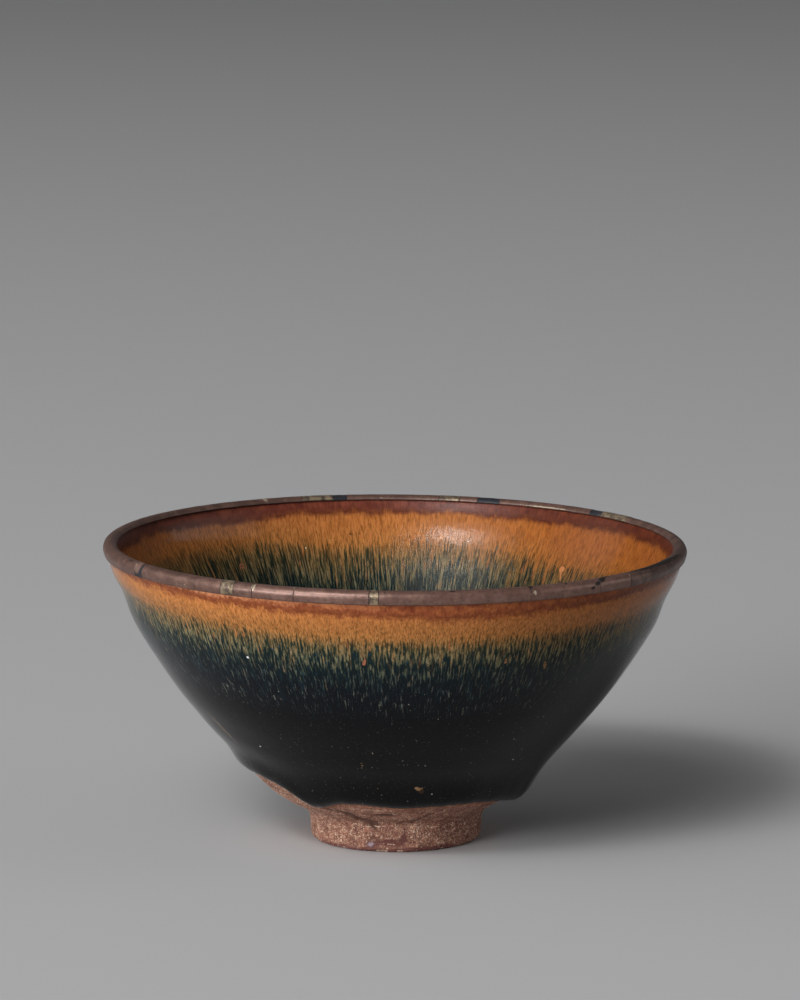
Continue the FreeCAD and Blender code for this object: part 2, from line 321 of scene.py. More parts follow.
# %% Columns of the glazed surface
glaze_line_shares = [
    (0.000, 0.99), (0.055, 1.00), (0.107, 0.99), (0.160, 0.90), (0.220, 0.79), (0.280, 0.77), (0.360, 0.85),
    (0.440, 0.95), (0.520, 1.02), (0.600, 1.12), (0.680, 1.22), (0.760, 1.28), (0.810, 1.30), (0.855, 1.22),
    (0.880, 1.05), (0.898, 0.91), (0.920, 0.94), (0.937, 1.01), (0.955, 1.03),
]
roll_shares = [(0.02, 0.52), (0.12, 0.88), (0.27, 1.00), (0.46, 0.82), (0.68, 0.52), (0.90, 0.32)]
coat_outside_shares = [(0.08, 0.80), (0.20, 0.95), (0.34, 1.05), (0.48, 1.00), (0.62, 0.92), (0.74, 0.84),
                       (0.84, 0.76), (0.92, 0.66)]
coat_inside_shares = [(0.06, 0.62), (0.15, 0.75), (0.26, 0.88), (0.38, 1.00), (0.50, 1.10), (0.62, 1.25),
                      (0.73, 1.50), (0.83, 1.90), (0.91, 2.30)]
GLAZE_LINE, ROLL, ROLL_GAIN, ROLL_REACH = 12.6, 1.35, 1.7, 8.5
COAT, COAT_AT_LIP, POOL, ROOT_DEPTH = 0.5, 0.27, 1.3, 0.7

coat_columns = 900
coat_degrees = np.arange(coat_columns) * 360 / coat_columns
line_at, line_share = np.array(glaze_line_shares).T
three_turns = np.concatenate([line_at - 1, line_at, line_at + 1])
line_share = along_spans(three_turns, np.tile(line_share, 3), coat_degrees / 360)
line_share = line_share + waves(coat_degrees, 0.0, (23, 37, 58, 83), ENDLESS, 0.006)
edge_run = np.interp(GLAZE_LINE * line_share, wall_outside["spots"][:, 1], wall_outside["run"])
roll = ROLL / line_share**ROLL_GAIN * (1 + waves(coat_degrees, 0.0, (7, 11, 17, 29), ENDLESS, 0.05))
reach = ROLL_REACH / line_share
upper_run = wall_outside["length"] - edge_run - reach
level = np.ones(coat_columns)


def coat_row(wall, run, thickness, side=1):
    """A row of spots of the coat, at a length along a wall and a thickness off it."""
    return off_line(wall, level * run, level * thickness, side)


coat_points = [np.stack([level * radius, level * (FLOOR_HEIGHT + POOL)], -1) for radius in (1.0, 3.0)]
coat_points += [coat_row(wall_inside, wall_inside["length"] * way, COAT * share)
                for way, share in coat_inside_shares[::-1]]
inside_count = len(coat_points)
coat_points += [np.tile(round_lip(LIP_ROUND + COAT_AT_LIP, angle), (coat_columns, 1))
                for angle in np.linspace(INSIDE_DEG, OUTSIDE_DEG, 5)]
coat_points.append(coat_row(wall_outside, wall_outside["length"], COAT_AT_LIP))
coat_points += [coat_row(wall_outside, edge_run + reach + upper_run * way, COAT * share)
                for way, share in coat_outside_shares[::-1]]
coat_points += [coat_row(wall_outside, edge_run + reach * way, roll * share)
                for way, share in roll_shares[::-1]]
coat_points += [coat_row(wall_outside, edge_run, 0), coat_row(wall_outside, edge_run, ROOT_DEPTH, -1)]
coat_points = np.stack(coat_points)
print("columns", coat_columns, "points in each", len(coat_points))

# %% [markdown]
# These columns have few points. Cubic spans fill them in, finely at the lip and at the lower edge, where the
# light shows every bend, and more coarsely on the slope. A Subdivision modifier would also make them smooth,
# but it would shrink the measured outline. Swells of throwing and flow then move each point a little off the
# surface, so that the mirror images in the gloss are never quite straight. They fade out under the binding
# and at the root.

# %% Fine rows of the glazed surface
FINE_STEP, COARSE_STEP = 0.18, 0.62
mean_step = np.linalg.norm(np.diff(coat_points, axis=0), axis=2).mean(axis=1)
coat_at = np.concatenate([[0], np.cumsum(mean_step)])
fine_at = [0.0]
for place, step in enumerate(mean_step):
    near_lip = inside_count - 1 <= place <= inside_count + 5
    near_edge = place >= len(mean_step) - 8
    count = math.ceil(step / (FINE_STEP if near_lip or near_edge else COARSE_STEP))
    fine_at += list(coat_at[place] + step * np.arange(1, count + 1) / count)
fine_at = np.array(fine_at)
coat_rows = along_spans(coat_at, coat_points, fine_at)
lip_at = coat_at[inside_count + 2]
fall = np.tile((fine_at - lip_at)[:, None], (1, coat_columns))


def square_off(rows):
    """Directions square to the columns of an outline, to the right of the way they run."""
    way = np.gradient(rows, axis=0)
    square = np.stack([way[..., 1], -way[..., 0]], -1)
    return square / (np.linalg.norm(square, axis=-1, keepdims=True) + 1e-9)


swell = sum(waves(coat_degrees[None, :], fall, counts, lengths, amount) for counts, lengths, amount in (
    ((2, 3, 5), (46, 31), 0.05), ((1, 2), (7.3, 10.1), 0.012), ((19, 31, 47), (60, 90), 0.010)))
swell = swell * fade_in(np.abs(fall), 3.0, 4.0) * fade_in(fine_at[-1] - fine_at[:, None], 2.5, 2.5)
swell = swell * fade_in(coat_rows[..., 0], 0.0, 12.0)
coat_rows = coat_rows - square_off(coat_rows) * swell[..., None]
print("rows", len(fine_at), "radius", coat_rows[..., 0].min().round(2), "to",
      coat_rows[..., 0].max().round(2))

# %% [markdown]
# The colours of the glaze depend on how far it flowed. So each point of the mesh carries a few marks: how far
# it lies from the lip (below zero inside), how far above the rust-to-black border, and how far above the
# lower edge of the glaze. Two more carry painted light and shade: a painted glow on the front left of the red
# lip, and a painted shade on the sides. The borders aren't level on the real bowl, so short tables of
# directions and heights say where they run, outside and inside.

# %% Borders of the colours
rust_border_outside = [
    (-73, 55.6), (-62, 54.2), (-52, 53.9), (-44, 53.6), (-29, 52.9), (-13, 52.3), (0, 52.2), (13, 52.0),
    (26, 52.3), (41, 52.5), (62, 53.2), (75, 54.3), (120, 53.4), (180, 54.0), (230, 53.0), (260, 54.4),
]
rust_border_inside = [
    (-148, 54.6), (-164, 52.4), (179, 52.6), (167, 53.2), (149, 52.0), (137, 50.9), (124, 51.2), (100, 51.8),
    (60, 53.0), (0, 52.0), (-60, 53.2), (-110, 54.4),
]
red_border_outside = [
    (-75, 60.9), (-53, 60.0), (-41, 59.5), (-27, 59.2), (-13, 58.7), (0, 58.3), (8.5, 58.0), (20, 58.1),
    (34, 58.6), (44, 58.9), (60, 59.9), (120, 58.6), (180, 59.2), (240, 58.6),
]
red_border_inside = [
    (-146, 59.6), (-158, 60.5), (168, 60.5), (144, 60.1), (123, 60.6), (104, 60.4), (60, 59.9), (0, 60.4),
    (-60, 59.6), (-110, 60.6),
]
# Painted light on the front left of the red lip, by direction.
painted_glow_outside = [(-110, 0.4), (-75, 1.0), (-36, 0.9), (-14, 0.35), (2, 0.0), (180, 0.1), (215, 0.4)]
# Painted shade on the sides of the bowl, outside and inside, by direction.
painted_shade_outside = [(-110, 0.2), (-75, 0.0), (10, 0.0), (35, 0.6), (50, 0.9), (75, 1.0), (100, 0.6), (150, 0.1),
                (220, 0.1)]
painted_shade_inside = [(-152, 0.1), (-140, 0.5), (-110, 0.7), (-60, 0.4), (0, 0.3), (60, 0.6), (105, 1.0), (136, 1.0),
               (150, 0.6), (166, 0.15), (180, 0.0)]
BLOOM_INSIDE, BLOOM_SHIFT, FLOW_INSIDE = 0.62, 0.5, 0.55
outside = fall > 0


def by_side(outside_rows, inside_rows):
    """Values by direction, from one table for the outside and from another for the inside."""
    return np.where(outside, closed_table(outside_rows, coat_degrees),
                    closed_table(inside_rows, coat_degrees))


rust = coat_rows[..., 1] - by_side(rust_border_outside, rust_border_inside)
red = coat_rows[..., 1] - by_side(red_border_outside, red_border_inside)
bloom = np.where(outside, rust, np.minimum(rust, 0) * BLOOM_INSIDE + np.maximum(rust, 0) + BLOOM_SHIFT)
flow = np.where(outside, fall, fall * FLOW_INSIDE)
above_edge = np.tile((coat_at[-2] - fine_at)[:, None], (1, coat_columns))
print("rust border from %.1f above to %.1f below" % (rust.max(), -rust.min()))

# %% [markdown]
# A coat has two sides. The hidden one lies on the clay, from the root up over the lip and down to the floor.
# It could be left out, but a closed piece stays right when it is cut, weighed or seen from another side. It
# gets marks of its own, far from any border.

# %% Mesh of the glaze
BURIED = 0.06
hidden = [coat_row(wall_outside, edge_run + (wall_outside["length"] - edge_run) * way, BURIED, -1)
          for way in np.linspace(0.04, 1, 16)]
hidden += [np.tile(round_lip(LIP_ROUND - BURIED, angle), (coat_columns, 1))
           for angle in np.linspace(OUTSIDE_DEG, INSIDE_DEG, 8)]
hidden += [coat_row(wall_inside, wall_inside["length"] * way, BURIED, -1)
           for way in np.linspace(0.04, 0.98, 20)]
hidden = np.stack(hidden)
coat_places = lean(around(np.concatenate([coat_rows, hidden]), coat_degrees[None, :]))
poles = lean(np.array([[0, 0, FLOOR_HEIGHT + POOL], [0, 0, FLOOR_HEIGHT - BURIED]]))
coat_marks = {
    "fall": (fall, 0), "flow": (flow, 0), "bloom": (bloom, -30), "red": (red, -30),
    # The glow mark is painted light on the front left of the red lip.
    "above_edge": (above_edge, 20), "glow": (outside * closed_table(painted_glow_outside, coat_degrees), 0),
    # The next mark is painted shade on the sides of the bowl.
    "painted_shade": (by_side(painted_shade_outside, painted_shade_inside), 0),
}
glaze = turned_mesh("glaze", coat_places, {
    mark: np.concatenate([values, np.full(hidden.shape[:2], filler)])
    for mark, (values, filler) in coat_marks.items()
}, poles[0], poles[1])

# %% [markdown]
# ## The clay and its foot
# Below the glaze the clay is bare: a coarse body full of iron and bright grit, burnt to a reddish brown. The
# foot ring was cut with a knife while the clay was stiff. It has a shallow recess, a cove where it meets the
# wall, a slash where the blade slipped, a bruise, and a flake broken off its resting edge. On the real thing
# these are dents and bumps, so here they move the points of the mesh, and only the finest grain is left to
# the material.

# %% Outline of the clay
COVE_REACH, COVE_GAIN, BARE_REACH = 0.9, 1.2, 17.5
clay_columns = 1440
clay_degrees = np.arange(clay_columns) * 360 / clay_columns
ring_inside = FOOT_RADIUS - FOOT_RING
recess_edge = ring_inside - RECESS_TAPER
cove_start = closed_table([(-100, 4.3), (-65, 3.9), (-45, 4.6), (-25, 5.5), (0, 5.9), (25, 5.6), (45, 4.7),
                           (62, 3.9), (100, 4.4), (180, 5.2)], clay_degrees)
cove_start = cove_start + waves(clay_degrees, 0.0, (9, 14, 23, 41, 67), ENDLESS, 0.13)
even = np.ones(clay_columns)


def row_at(radius, height):
    """A row of spots around the clay; its radius and height may change with the direction."""
    return np.stack([even * radius, even * height], -1)


def foot_side(height):
    """A row on the outside of the foot ring, which flares a little upwards."""
    return row_at(FOOT_RADIUS + FOOT_FLARE * height / FOOT_HEIGHT, height)


def on_wall(wall, run):
    """One row of spots on a wall, or several, at lengths along it."""
    return off_line(wall, even * run, even * 0, 1)


def blend_rows(start, middle, end, ways):
    """Rows of a bend that starts towards its middle row and leaves it behind."""
    ways = np.asarray(ways)[:, None, None]
    return list(start * (1 - ways)**2 + middle * 2 * ways * (1 - ways) + end * ways**2)


clay_rows = [row_at(radius, RECESS_DEPTH) for radius in np.linspace(0.4, 10.4, 34)]
clay_rows += blend_rows(row_at(recess_edge - RECESS_CORNER, RECESS_DEPTH), row_at(recess_edge, RECESS_DEPTH),
                        row_at(ring_inside, 0), np.linspace(0, 1, 18))
clay_rows += [row_at(radius, 0) for radius in np.linspace(ring_inside, FOOT_RADIUS - FOOT_ROUND, 34)[1:]]
clay_rows += [row_at(FOOT_RADIUS + FOOT_ROUND * (math.cos(bend) - 1), FOOT_ROUND * (1 + math.sin(bend)))
              for bend in np.radians(np.linspace(-90, 0, 12)[1:])]
clay_rows += [foot_side(FOOT_ROUND + (cove_start - FOOT_ROUND) * way) for way in np.linspace(0, 1, 38)[1:]]
wall_start = np.interp(FOOT_HEIGHT, wall_outside["spots"][:, 1], wall_outside["run"])
cove_run = wall_start + COVE_REACH + (FOOT_HEIGHT - cove_start) * COVE_GAIN
clay_rows += blend_rows(foot_side(cove_start), foot_side(FOOT_HEIGHT), on_wall(wall_outside, cove_run),
                        np.linspace(0, 1, 26)[1:])
bare_run = wall_start + BARE_REACH
slope_start = len(clay_rows)
slope_runs = cove_run + (bare_run - cove_run) * np.linspace(0, 1, 100)[1:, None]
clay_rows += list(on_wall(wall_outside, slope_runs))
bare_rows = len(clay_rows)
clay_rows += [on_wall(wall_outside, bare_run + (wall_outside["length"] - bare_run) * way)
              for way in np.linspace(0, 1, 16)[1:]]
clay_rows += [np.tile(round_lip(LIP_ROUND, angle), (clay_columns, 1))
              for angle in np.linspace(OUTSIDE_DEG, INSIDE_DEG, 7)]
clay_rows += [on_wall(wall_inside, wall_inside["length"] * way) for way in np.linspace(0.04, 0.985, 22)]
clay_rows = np.stack(clay_rows)
print("clay rows", len(clay_rows), "of which bare", bare_rows)

# %% [markdown]
# Dents are easiest to place on a flat drawing of the surface: one way round in millimetres, one way up along
# the outline. Each dent is a soft shape around a short path on that drawing. A positive depth presses into
# the clay.

# %% Places of the dents
FAR_AWAY, STEPS, STEEPNESS = 1e9, 9, 0.35
bare = clay_rows[:bare_rows]
ring_row = int(np.argmin(np.abs(bare[:, 0, 0] - FOOT_RADIUS) + np.abs(bare[:, 0, 1] - FOOT_ROUND)))
signed_degrees = (clay_degrees + 180) % 360 - 180
on_outside = np.arange(bare_rows)[:, None] >= ring_row - 10


def aside(degrees):
    """How far each point lies beside a direction, in millimetres."""
    return np.radians(signed_degrees - degrees)[None, :] * bare[..., 0]


def near_path(path, width, softness=0.5):
    """How much each point lies on a path of (degrees, height) spots: one at its middle, none past a width."""
    closest = np.full(bare.shape[:2], FAR_AWAY)
    for start, end in zip(path, path[1:]):
        for degrees, up in np.linspace(start, end, STEPS):
            closest = np.minimum(closest, np.hypot(aside(degrees), (bare[..., 1] - up) * 1.25))
    closest[~np.broadcast_to(on_outside, closest.shape)] = FAR_AWAY
    return 1 / (1 + np.exp((closest - width) / (width * softness * STEEPNESS)))


def patch(degrees, up, half_round, half_up, power=2.0):
    """A soft oval patch on the outside of the foot or wall."""
    oval = np.abs(aside(degrees) / half_round)**power + np.abs((bare[..., 1] - up) / half_up)**power
    return np.where(on_outside, np.exp(-oval), 0)


slash = near_path([(-33.2, 9.4), (-26.6, 9.2), (-22.9, 8.3)], 0.60, 0.8)
slash = np.maximum(slash, near_path([(-23.6, 8.5), (-20.8, 7.3), (-17.5, 6.6), (-13.9, 6.1)], 1.25, 0.8))
slash_rim = np.clip(slash * 4 * (1 - slash), 0, 1)
bruise = patch(-4.2, 9.2, 2.1, 0.55, 3)
crease = near_path([(11.0, 6.7), (13.0, 7.5), (16.2, 8.7), (20.3, 9.6)], 0.46, 0.8)
scratch = near_path([(-15.2, 5.8), (-12.6, 4.6), (-10.6, 3.6)], 0.10)
flake = patch(-3.4, 2.1, 3.3, 0.95, 2.6)
flake_line = near_path([(-8.5, 1.9), (-5.0, 1.75), (-0.5, 1.7)], 0.15)
chips = sum(patch(degrees, 0.25, size, 0.35) for degrees, size in (
    (-12.6, 0.45), (-9.6, 0.6), (-6.8, 0.4), (1.4, 0.35), (3.6, 0.5), (14, 0.3), (33, 0.5), (-38, 0.4),
    (118, 0.6), (171, 0.5), (-96, 0.7), (-141, 0.4)))
print("points in the slash:", int((slash > 0.5).sum()))

# %% [markdown]
# The clay is gritty all over. Grains of several sizes lift or sink the points, the knife dragged them around
# the foot, and it left a thin ridge where it turned into the cove. A table says how far each kind lifts or
# presses the surface, in millimetres, so that one number can be changed without touching the rest.

# %% Grains of the clay
grains = grain(bare.shape[:2], 1.1, 1.7)
lumps = grain(bare.shape[:2], 2.4, 3.6)
broad = grain(bare.shape[:2], 14, 40)
drag = grain(bare.shape[:2], 0.9, 12)
ridge = np.exp(-((bare[..., 1] - cove_start[None, :] + 0.12) / 0.16)**2) * on_outside
ridge = ridge * np.clip(0.5 + 0.6 * broad + 0.5 * lumps, 0.0, 1.3)
trim_lines = np.where(on_outside, np.sin(bare[..., 1] * 7.1 + 0.8 * np.sin(np.radians(clay_degrees))), 0)
raised = [
    (0.10, flake_line), (0.07, ridge), (0.012, trim_lines), (0.03, broad), (0.035, np.clip(lumps, -1.5, 1.5)),
    (0.06, np.clip(grains - 0.7, 0, 2)), (0.014, drag), (0.08, slash_rim),
]
pressed = [
    (0.62, slash), (0.50, bruise), (0.20, crease), (0.08, scratch), (0.40, flake), (0.22, chips),
    (0.05, np.clip(-grains - 1.0, 0, 2)),
]
push = sum(lift * shape for lift, shape in raised) - sum(depth * shape for depth, shape in pressed)
quiet = fade_in(bare_rows - 1 - np.arange(bare_rows)[:, None], 0, 14)
bare_moved = bare + square_off(bare) * (push * quiet)[..., None]
bare_moved[..., 1] = np.maximum(bare_moved[..., 1], 0)
clay_rows = np.concatenate([bare_moved, clay_rows[bare_rows:]])
print("pushed by %.2f to %.2f mm" % (push.min(), push.max()))

# %% [markdown]
# The foot stands flat and the wall leans, so the lean fades in between them. The dents, grains and burnt
# places also become marks on the points. They could be painted by hand as vertex colours, but made from the
# same numbers as the dents, each colour lies exactly on its shape.

# %% Mesh of the clay
FAR_BELOW, LEAN_START, LEAN_REACH = 20.0, 5.5, 3.5
clay_places = around(clay_rows, clay_degrees[None, :])
leaned_places = lean(clay_places.copy())
leaning = fade_in(clay_rows[..., 1], LEAN_START, LEAN_REACH)
leaning[:ring_row] = 0
clay_places = clay_places * (1 - leaning[..., None]) + leaned_places * leaning[..., None]


def bare_mark(values, filler=0.0):
    """A mark of the bare rows, filled up for the rows under the glaze."""
    rest = np.full((len(clay_rows) - bare_rows, clay_columns), filler)
    return np.concatenate([np.broadcast_to(values, (bare_rows, clay_columns)), rest])


below_line = np.full(bare.shape[:2], FAR_BELOW)
below_line[slope_start:] = np.interp(clay_degrees, coat_degrees, edge_run, period=360) - slope_runs
slope = np.zeros(bare.shape[:2])
slope[slope_start - 14:] = 1 - closed_table([(-110, 1.8), (-40, 1.8), (-22, 0), (210, 0), (235, 1.2)],
                                            clay_degrees)
# Partly real pale chips and flake lines, partly painted highlight on the foot's ridge and the slash's rim.
pale = ridge * 0.6 + chips * 0.9 + slash_rim * 0.25 + flake_line * np.clip(0.6 + 0.9 * grains, 0, 1.4) * 0.75
# Painted highlight on a strip of clay just under the glaze at the front.
pale = pale + patch(-13, 10.9, 6.0, 0.42, 3) * np.clip(0.50 + 0.12 * lumps, 0, 1)
scorch_patches = [
    (26, 0.6, 6.5, 0.65, 3, 0.9), (5.2, 3.5, 0.7, 1.2, 2, 0.9), (-17, 1.6, 1.3, 0.9, 2, 1.0),
    (-36, 10.2, 2.0, 0.5, 2, 0.9), (-6, 0.4, 9.0, 0.45, 3, 0.7), (-50, 0.6, 9.0, 0.6, 3, 0.6),
]
scorch = flake * 0.9 + sum(strength * patch(*oval) for *oval, strength in scorch_patches)
gloss_spot = patch(-16.6, 1.6, 1.1, 0.7) * np.clip(1.0 + 0.35 * lumps, 0, 1)
clay = turned_mesh("clay", clay_places, {
    # The pale mark below carries pale chips and painted highlights alike.
    "grit": bare_mark(np.clip(grains - 0.75, 0, 1.5)), "pale": bare_mark(np.clip(pale, 0, 1.2)),
    "scorch": bare_mark(np.clip(scorch, 0, 1)), "gloss_spot": bare_mark(gloss_spot),
    # The dent mark below also carries the painted shade inside the slash, bruise, crease and scratch.
    "dent": bare_mark(np.clip(slash + bruise * 1.2 + crease * 0.85 + scratch * 0.4, 0, 1)),
    "lumps": bare_mark(lumps * 0.5 + broad * 0.5), "slope": bare_mark(slope),
    "below_line": bare_mark(below_line, FAR_BELOW),
}, np.array([0, 0, RECESS_DEPTH]), lean(np.array([[0, 0, FLOOR_HEIGHT]]))[0])

# %% [markdown]
# ## The metal binding
# A band of thin silver was folded over the lip in short lengths and pressed down with a burnisher, on a bed
# of dark lacquer. Some lengths are missing now, and gilt patches close a few gaps. Each length is its own
# sheet with a rolled outer leg, a short inner fold, softened edges and small waves from the pressing. An
# array of copies would repeat the same strip; here each has its own ends, edge and dents.

# %% Strips folded over the lip
CLEARANCE, BED, METAL, METAL_EDGE = 0.025, 0.1, 0.35, 0.2
METAL_INSIDE = LIP_ROUND + COAT_AT_LIP + CLEARANCE + BED + CLEARANCE
WRAP_DEG, JOINT, INNER_LEG, EDGE_ROUNDING, END_ROUNDING = 158.0, 0.05, 3.7, 0.16, 0.09
COLUMN_STEP, END_ZONE = 0.30, 0.22
joints = [
    (-66.0, -66.0), (-60.5, -57.6), (-52.0, -52.0), (-41.3, -41.3), (-35.0, -32.0), (-27.9, -27.9),
    (-19.3, -19.3), (-4.8, -3.0), (26.5, 26.5), (42.8, 42.8), (51.6, 51.6), (70.0, 70.0),
    (97.0, 97.0), (121.7, 133.8), (156.9, 162.0), (166.0, 170.5), (190.5, 200.3), (208.7, 208.7),
    (234.0, 234.0), (262.0, 262.0),
]
gilt_patches = [(-35.0, -32.0), (-4.8, -3.0), (121.7, 130.3), (166.0, 170.5), (193.6, 200.3)]
lacquer_fills = [(-60.5, -57.6), (130.3, 133.8), (156.9, 162.0), (190.5, 193.6)]


def fold_spots(radius, ways):
    """Spots of the fold at a radius: ways from 0 to 1 run up the outer leg, from 1 to 2 around the lip."""
    leg = np.clip(ways, None, 1)[..., None]
    spot = round_lip(radius, OUTSIDE_DEG + (WRAP_DEG - OUTSIDE_DEG) * np.clip(ways - 1, 0, None))
    return spot - lip_way(OUTSIDE_DEG) * SEAT * (1 - leg)


def soft_edge(distance, rounding):
    """Share of the full thickness near an edge that was softened by rubbing."""
    close = np.clip(distance / rounding, 0, 1)
    return np.sqrt(np.clip(1 - (1 - close)**2, 0, 1))


def folded_sheet(name, start, end, proud, marks_of):
    """One length of sheet folded over the lip between two directions."""
    trim = math.degrees(JOINT / 2 / LIP_RADIUS)
    start, end = start + trim, end - trim
    millimetres = math.radians(end - start) * LIP_RADIUS
    close = np.array([0, 0.02, 0.05, 0.09, 0.15])
    inner = np.linspace(0, millimetres, max(4, int(millimetres / COLUMN_STEP)))[1:-1]
    inner = inner[(inner > END_ZONE) & (inner < millimetres - END_ZONE)]
    columns = np.concatenate([close, inner, millimetres - close[::-1]])
    degrees = start + np.degrees(columns / LIP_RADIUS)
    ways = np.concatenate([[0, 0.03, 0.08, 0.16], np.linspace(0.3, 1, 5), np.linspace(1.07, 1.93, 17),
                           [1.955, 1.975, 1.99, 2.0]])
    way, degree = np.meshgrid(ways, degrees, indexing="ij")
    along = np.tile(columns, (len(ways), 1))
    edge_wave = waves(degree, 0.0, (61, 97, 143), ENDLESS, 0.035)
    way = np.where(way < 1, 1 - (1 - way) * (1 - edge_wave), 1 + (way - 1) * (1 + 0.5 * edge_wave))
    from_edges = np.minimum(way * SEAT, (2 - way) * INNER_LEG)
    from_ends = np.minimum(along, millimetres - along)
    softened = soft_edge(from_edges, EDGE_ROUNDING) * soft_edge(from_ends, END_ROUNDING)
    thick = (METAL + proud - METAL_EDGE) * softened + METAL_EDGE
    waving = waves(degree, way * 3, (37, 59, 89), (5, 9), 0.014) + waves(degree, way, (211, 307), (3,), 0.006)
    lift = chance.uniform(-0.02, 0.03) + 0.02 * chance.uniform(0, 1) * np.exp(-from_ends / 0.5)
    outer = fold_spots(METAL_INSIDE + thick + waving + lift, way)
    inner_side = fold_spots(np.full_like(way, METAL_INSIDE), way)
    section = np.concatenate([outer, inner_side[::-1]])
    places = lean(around(section, np.concatenate([degree, degree[::-1]])))
    ring = section.shape[0]
    faces = [list(face) for face in grid_faces(len(columns), ring, True)]
    faces += [list(range(ring)), [(len(columns) - 1) * ring + place for place in range(ring)][::-1]]
    marks = marks_of(degree, way, from_edges, from_ends)
    flat = {mark: np.concatenate([values, values[::-1]]).T for mark, values in marks.items()}
    return make_mesh(name, places.transpose(1, 0, 2), faces, flat)


# %% [markdown]
# Tarnish is not even: it gathers along edges and joints, fingers rub the outer curve bright, and old lacquer
# and corrosion leave dark marks. They are laid out here as ovals on the band: direction, place across the
# band, half lengths in millimetres and strength.

# %% Tarnish marks
dark_marks = [
    (-63.8, 1.20, 1.2, 0.35, 0.6), (-50.9, 1.55, 1.3, 0.16, 0.5), (-50.6, 0.9, 0.5, 0.3, 0.5),
    (-43.5, 1.1, 0.6, 0.3, 0.35), (-37.2, 1.5, 0.7, 0.3, 0.7), (-30.2, 1.2, 1.3, 0.25, 0.3),
    (-2.3, 1.55, 0.7, 0.2, 0.9), (-1.9, 1.0, 0.3, 0.4, 0.6), (10.9, 1.2, 0.9, 0.14, 0.8),
    (11.9, 1.05, 0.5, 0.10, 0.5), (26.6, 1.55, 0.30, 0.35, 1.0), (27.0, 1.25, 0.35, 0.2, 0.9),
    (26.5, 1.10, 0.20, 0.45, 1.0), (33.5, 1.62, 0.5, 0.10, 0.7), (34.7, 1.25, 0.35, 0.22, 0.8),
    (35.4, 1.5, 0.22, 0.25, 0.7), (40.6, 0.60, 0.8, 0.12, 0.9), (42.0, 0.85, 0.9, 0.15, 1.0),
    (43.4, 1.10, 0.9, 0.20, 1.1), (44.2, 1.25, 0.6, 0.16, 0.9), (45.8, 1.55, 0.9, 0.24, 1.2),
    (45.0, 1.35, 0.5, 0.10, 0.9), (54.0, 1.45, 1.8, 0.24, 0.8), (57.5, 1.30, 2.4, 0.28, 0.68),
    (61.0, 1.35, 2.8, 0.30, 0.70), (64.5, 1.30, 2.6, 0.30, 0.66), (68.0, 1.25, 2.8, 0.30, 0.70),
    (72.0, 1.20, 3.0, 0.30, 0.62), (58.5, 0.55, 2.2, 0.10, 0.5), (66.0, 0.60, 2.4, 0.10, 0.5),
    (76.0, 1.1, 3.0, 0.35, 0.5), (84.0, 1.5, 4.0, 0.3, 0.4), (176.0, 1.5, 2.0, 0.2, 0.4),
    (205.0, 1.4, 2.0, 0.3, 0.5), (222.0, 1.6, 3.0, 0.3, 0.5), (246.0, 1.5, 5.0, 0.3, 0.5),
    (275.0, 1.4, 3.0, 0.3, 0.4), (286.0, 1.2, 2.0, 0.3, 0.4),
]
bright_marks = [
    (-19.4, 1.3, 0.6, 0.45, 0.8), (-27.7, 1.0, 0.45, 0.35, 1.1), (-38.6, 0.7, 1.4, 0.10, 0.5),
    (-59.5, 1.2, 1.4, 0.9, 1.0), (27.3, 0.75, 0.35, 0.2, 1.2), (-44.0, 0.45, 0.8, 0.12, 0.6),
    (145.0, 1.9, 9.0, 0.08, 0.9), (168.0, 1.5, 3.0, 0.4, 0.7), (209.0, 1.5, 0.8, 0.4, 0.9),
    (-5.2, 1.0, 0.4, 0.3, 0.5), (182.0, 1.85, 5.0, 0.08, 0.6),
]


def band_marks(shade):
    """Marks for one strip: its own shade, dark and bright places, and how worn its edges are."""
    def of(degree, way, from_edges, from_ends):
        across = np.where(way < 1, way * 0.45, 0.45 + (way - 1) * 1.55)
        dark, bright = np.zeros_like(way), np.zeros_like(way)
        for table, total in ((dark_marks, dark), (bright_marks, bright)):
            for centre, place, half_round, half_across, strength in table:
                beside = (np.radians((degree - centre + 180) % 360 - 180) * LIP_RADIUS) / half_round
                total += strength * np.exp(-(beside**2 + ((across - place) / half_across)**2))
        edge = np.maximum(np.exp(-from_edges / 0.16), 0.5 * np.exp(-from_ends / 0.12))
        return {"shade": np.full_like(way, shade), "dark": dark, "bright": bright, "edge": edge}
    return of


print("dark marks", len(dark_marks), "bright marks", len(bright_marks))

# %% [markdown]
# Twenty strips, five gilt mends and four lacquer fills go around the lip. The mends stand a little proud of
# the silver and the lacquer lies lower, as they were laid in. Each takes the place of one solid of the frame
# and rides on the bowl, which has no part that moves.

# %% Strips, mends and fills
strip_shades = [0.40, 0.38, 0.42, 0.52, 0.42, 0.58, 0.60, 0.58, 0.60, 0.60,
                0.10, 0.15, 0.35, 0.45, 0.50, 0.42, 0.40, 0.35, 0.40, 0.42]
GILT_PROUD, LACQUER_PROUD, MEND_SHADE = 0.04, -0.05, 0.5
strips, gilding, fillings = [], [], []
for number, joint in enumerate(joints):
    following = joints[(number + 1) % len(joints)]
    end = joint[1] + (following[0] - joint[1]) % 360
    name = "silver_strip_%02d" % (number + 1)
    strips.append(folded_sheet(name, joint[1], end, 0, band_marks(strip_shades[number])))
    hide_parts("rim_strip_%02d" % (number + 1))
for number, ends in enumerate(gilt_patches):
    name = "gilt_mend_%02d" % (number + 1)
    gilding.append(folded_sheet(name, *ends, GILT_PROUD, band_marks(MEND_SHADE)))
    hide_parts("gilt_patch_%02d" % (number + 1))
for number, ends in enumerate(lacquer_fills):
    name = "lacquer_mend_%02d" % (number + 1)
    fillings.append(folded_sheet(name, *ends, LACQUER_PROUD, band_marks(MEND_SHADE)))
    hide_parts("lacquer_fill_%02d" % (number + 1))
lacquer = frame["nodes"]["rim_lacquer_bed"]
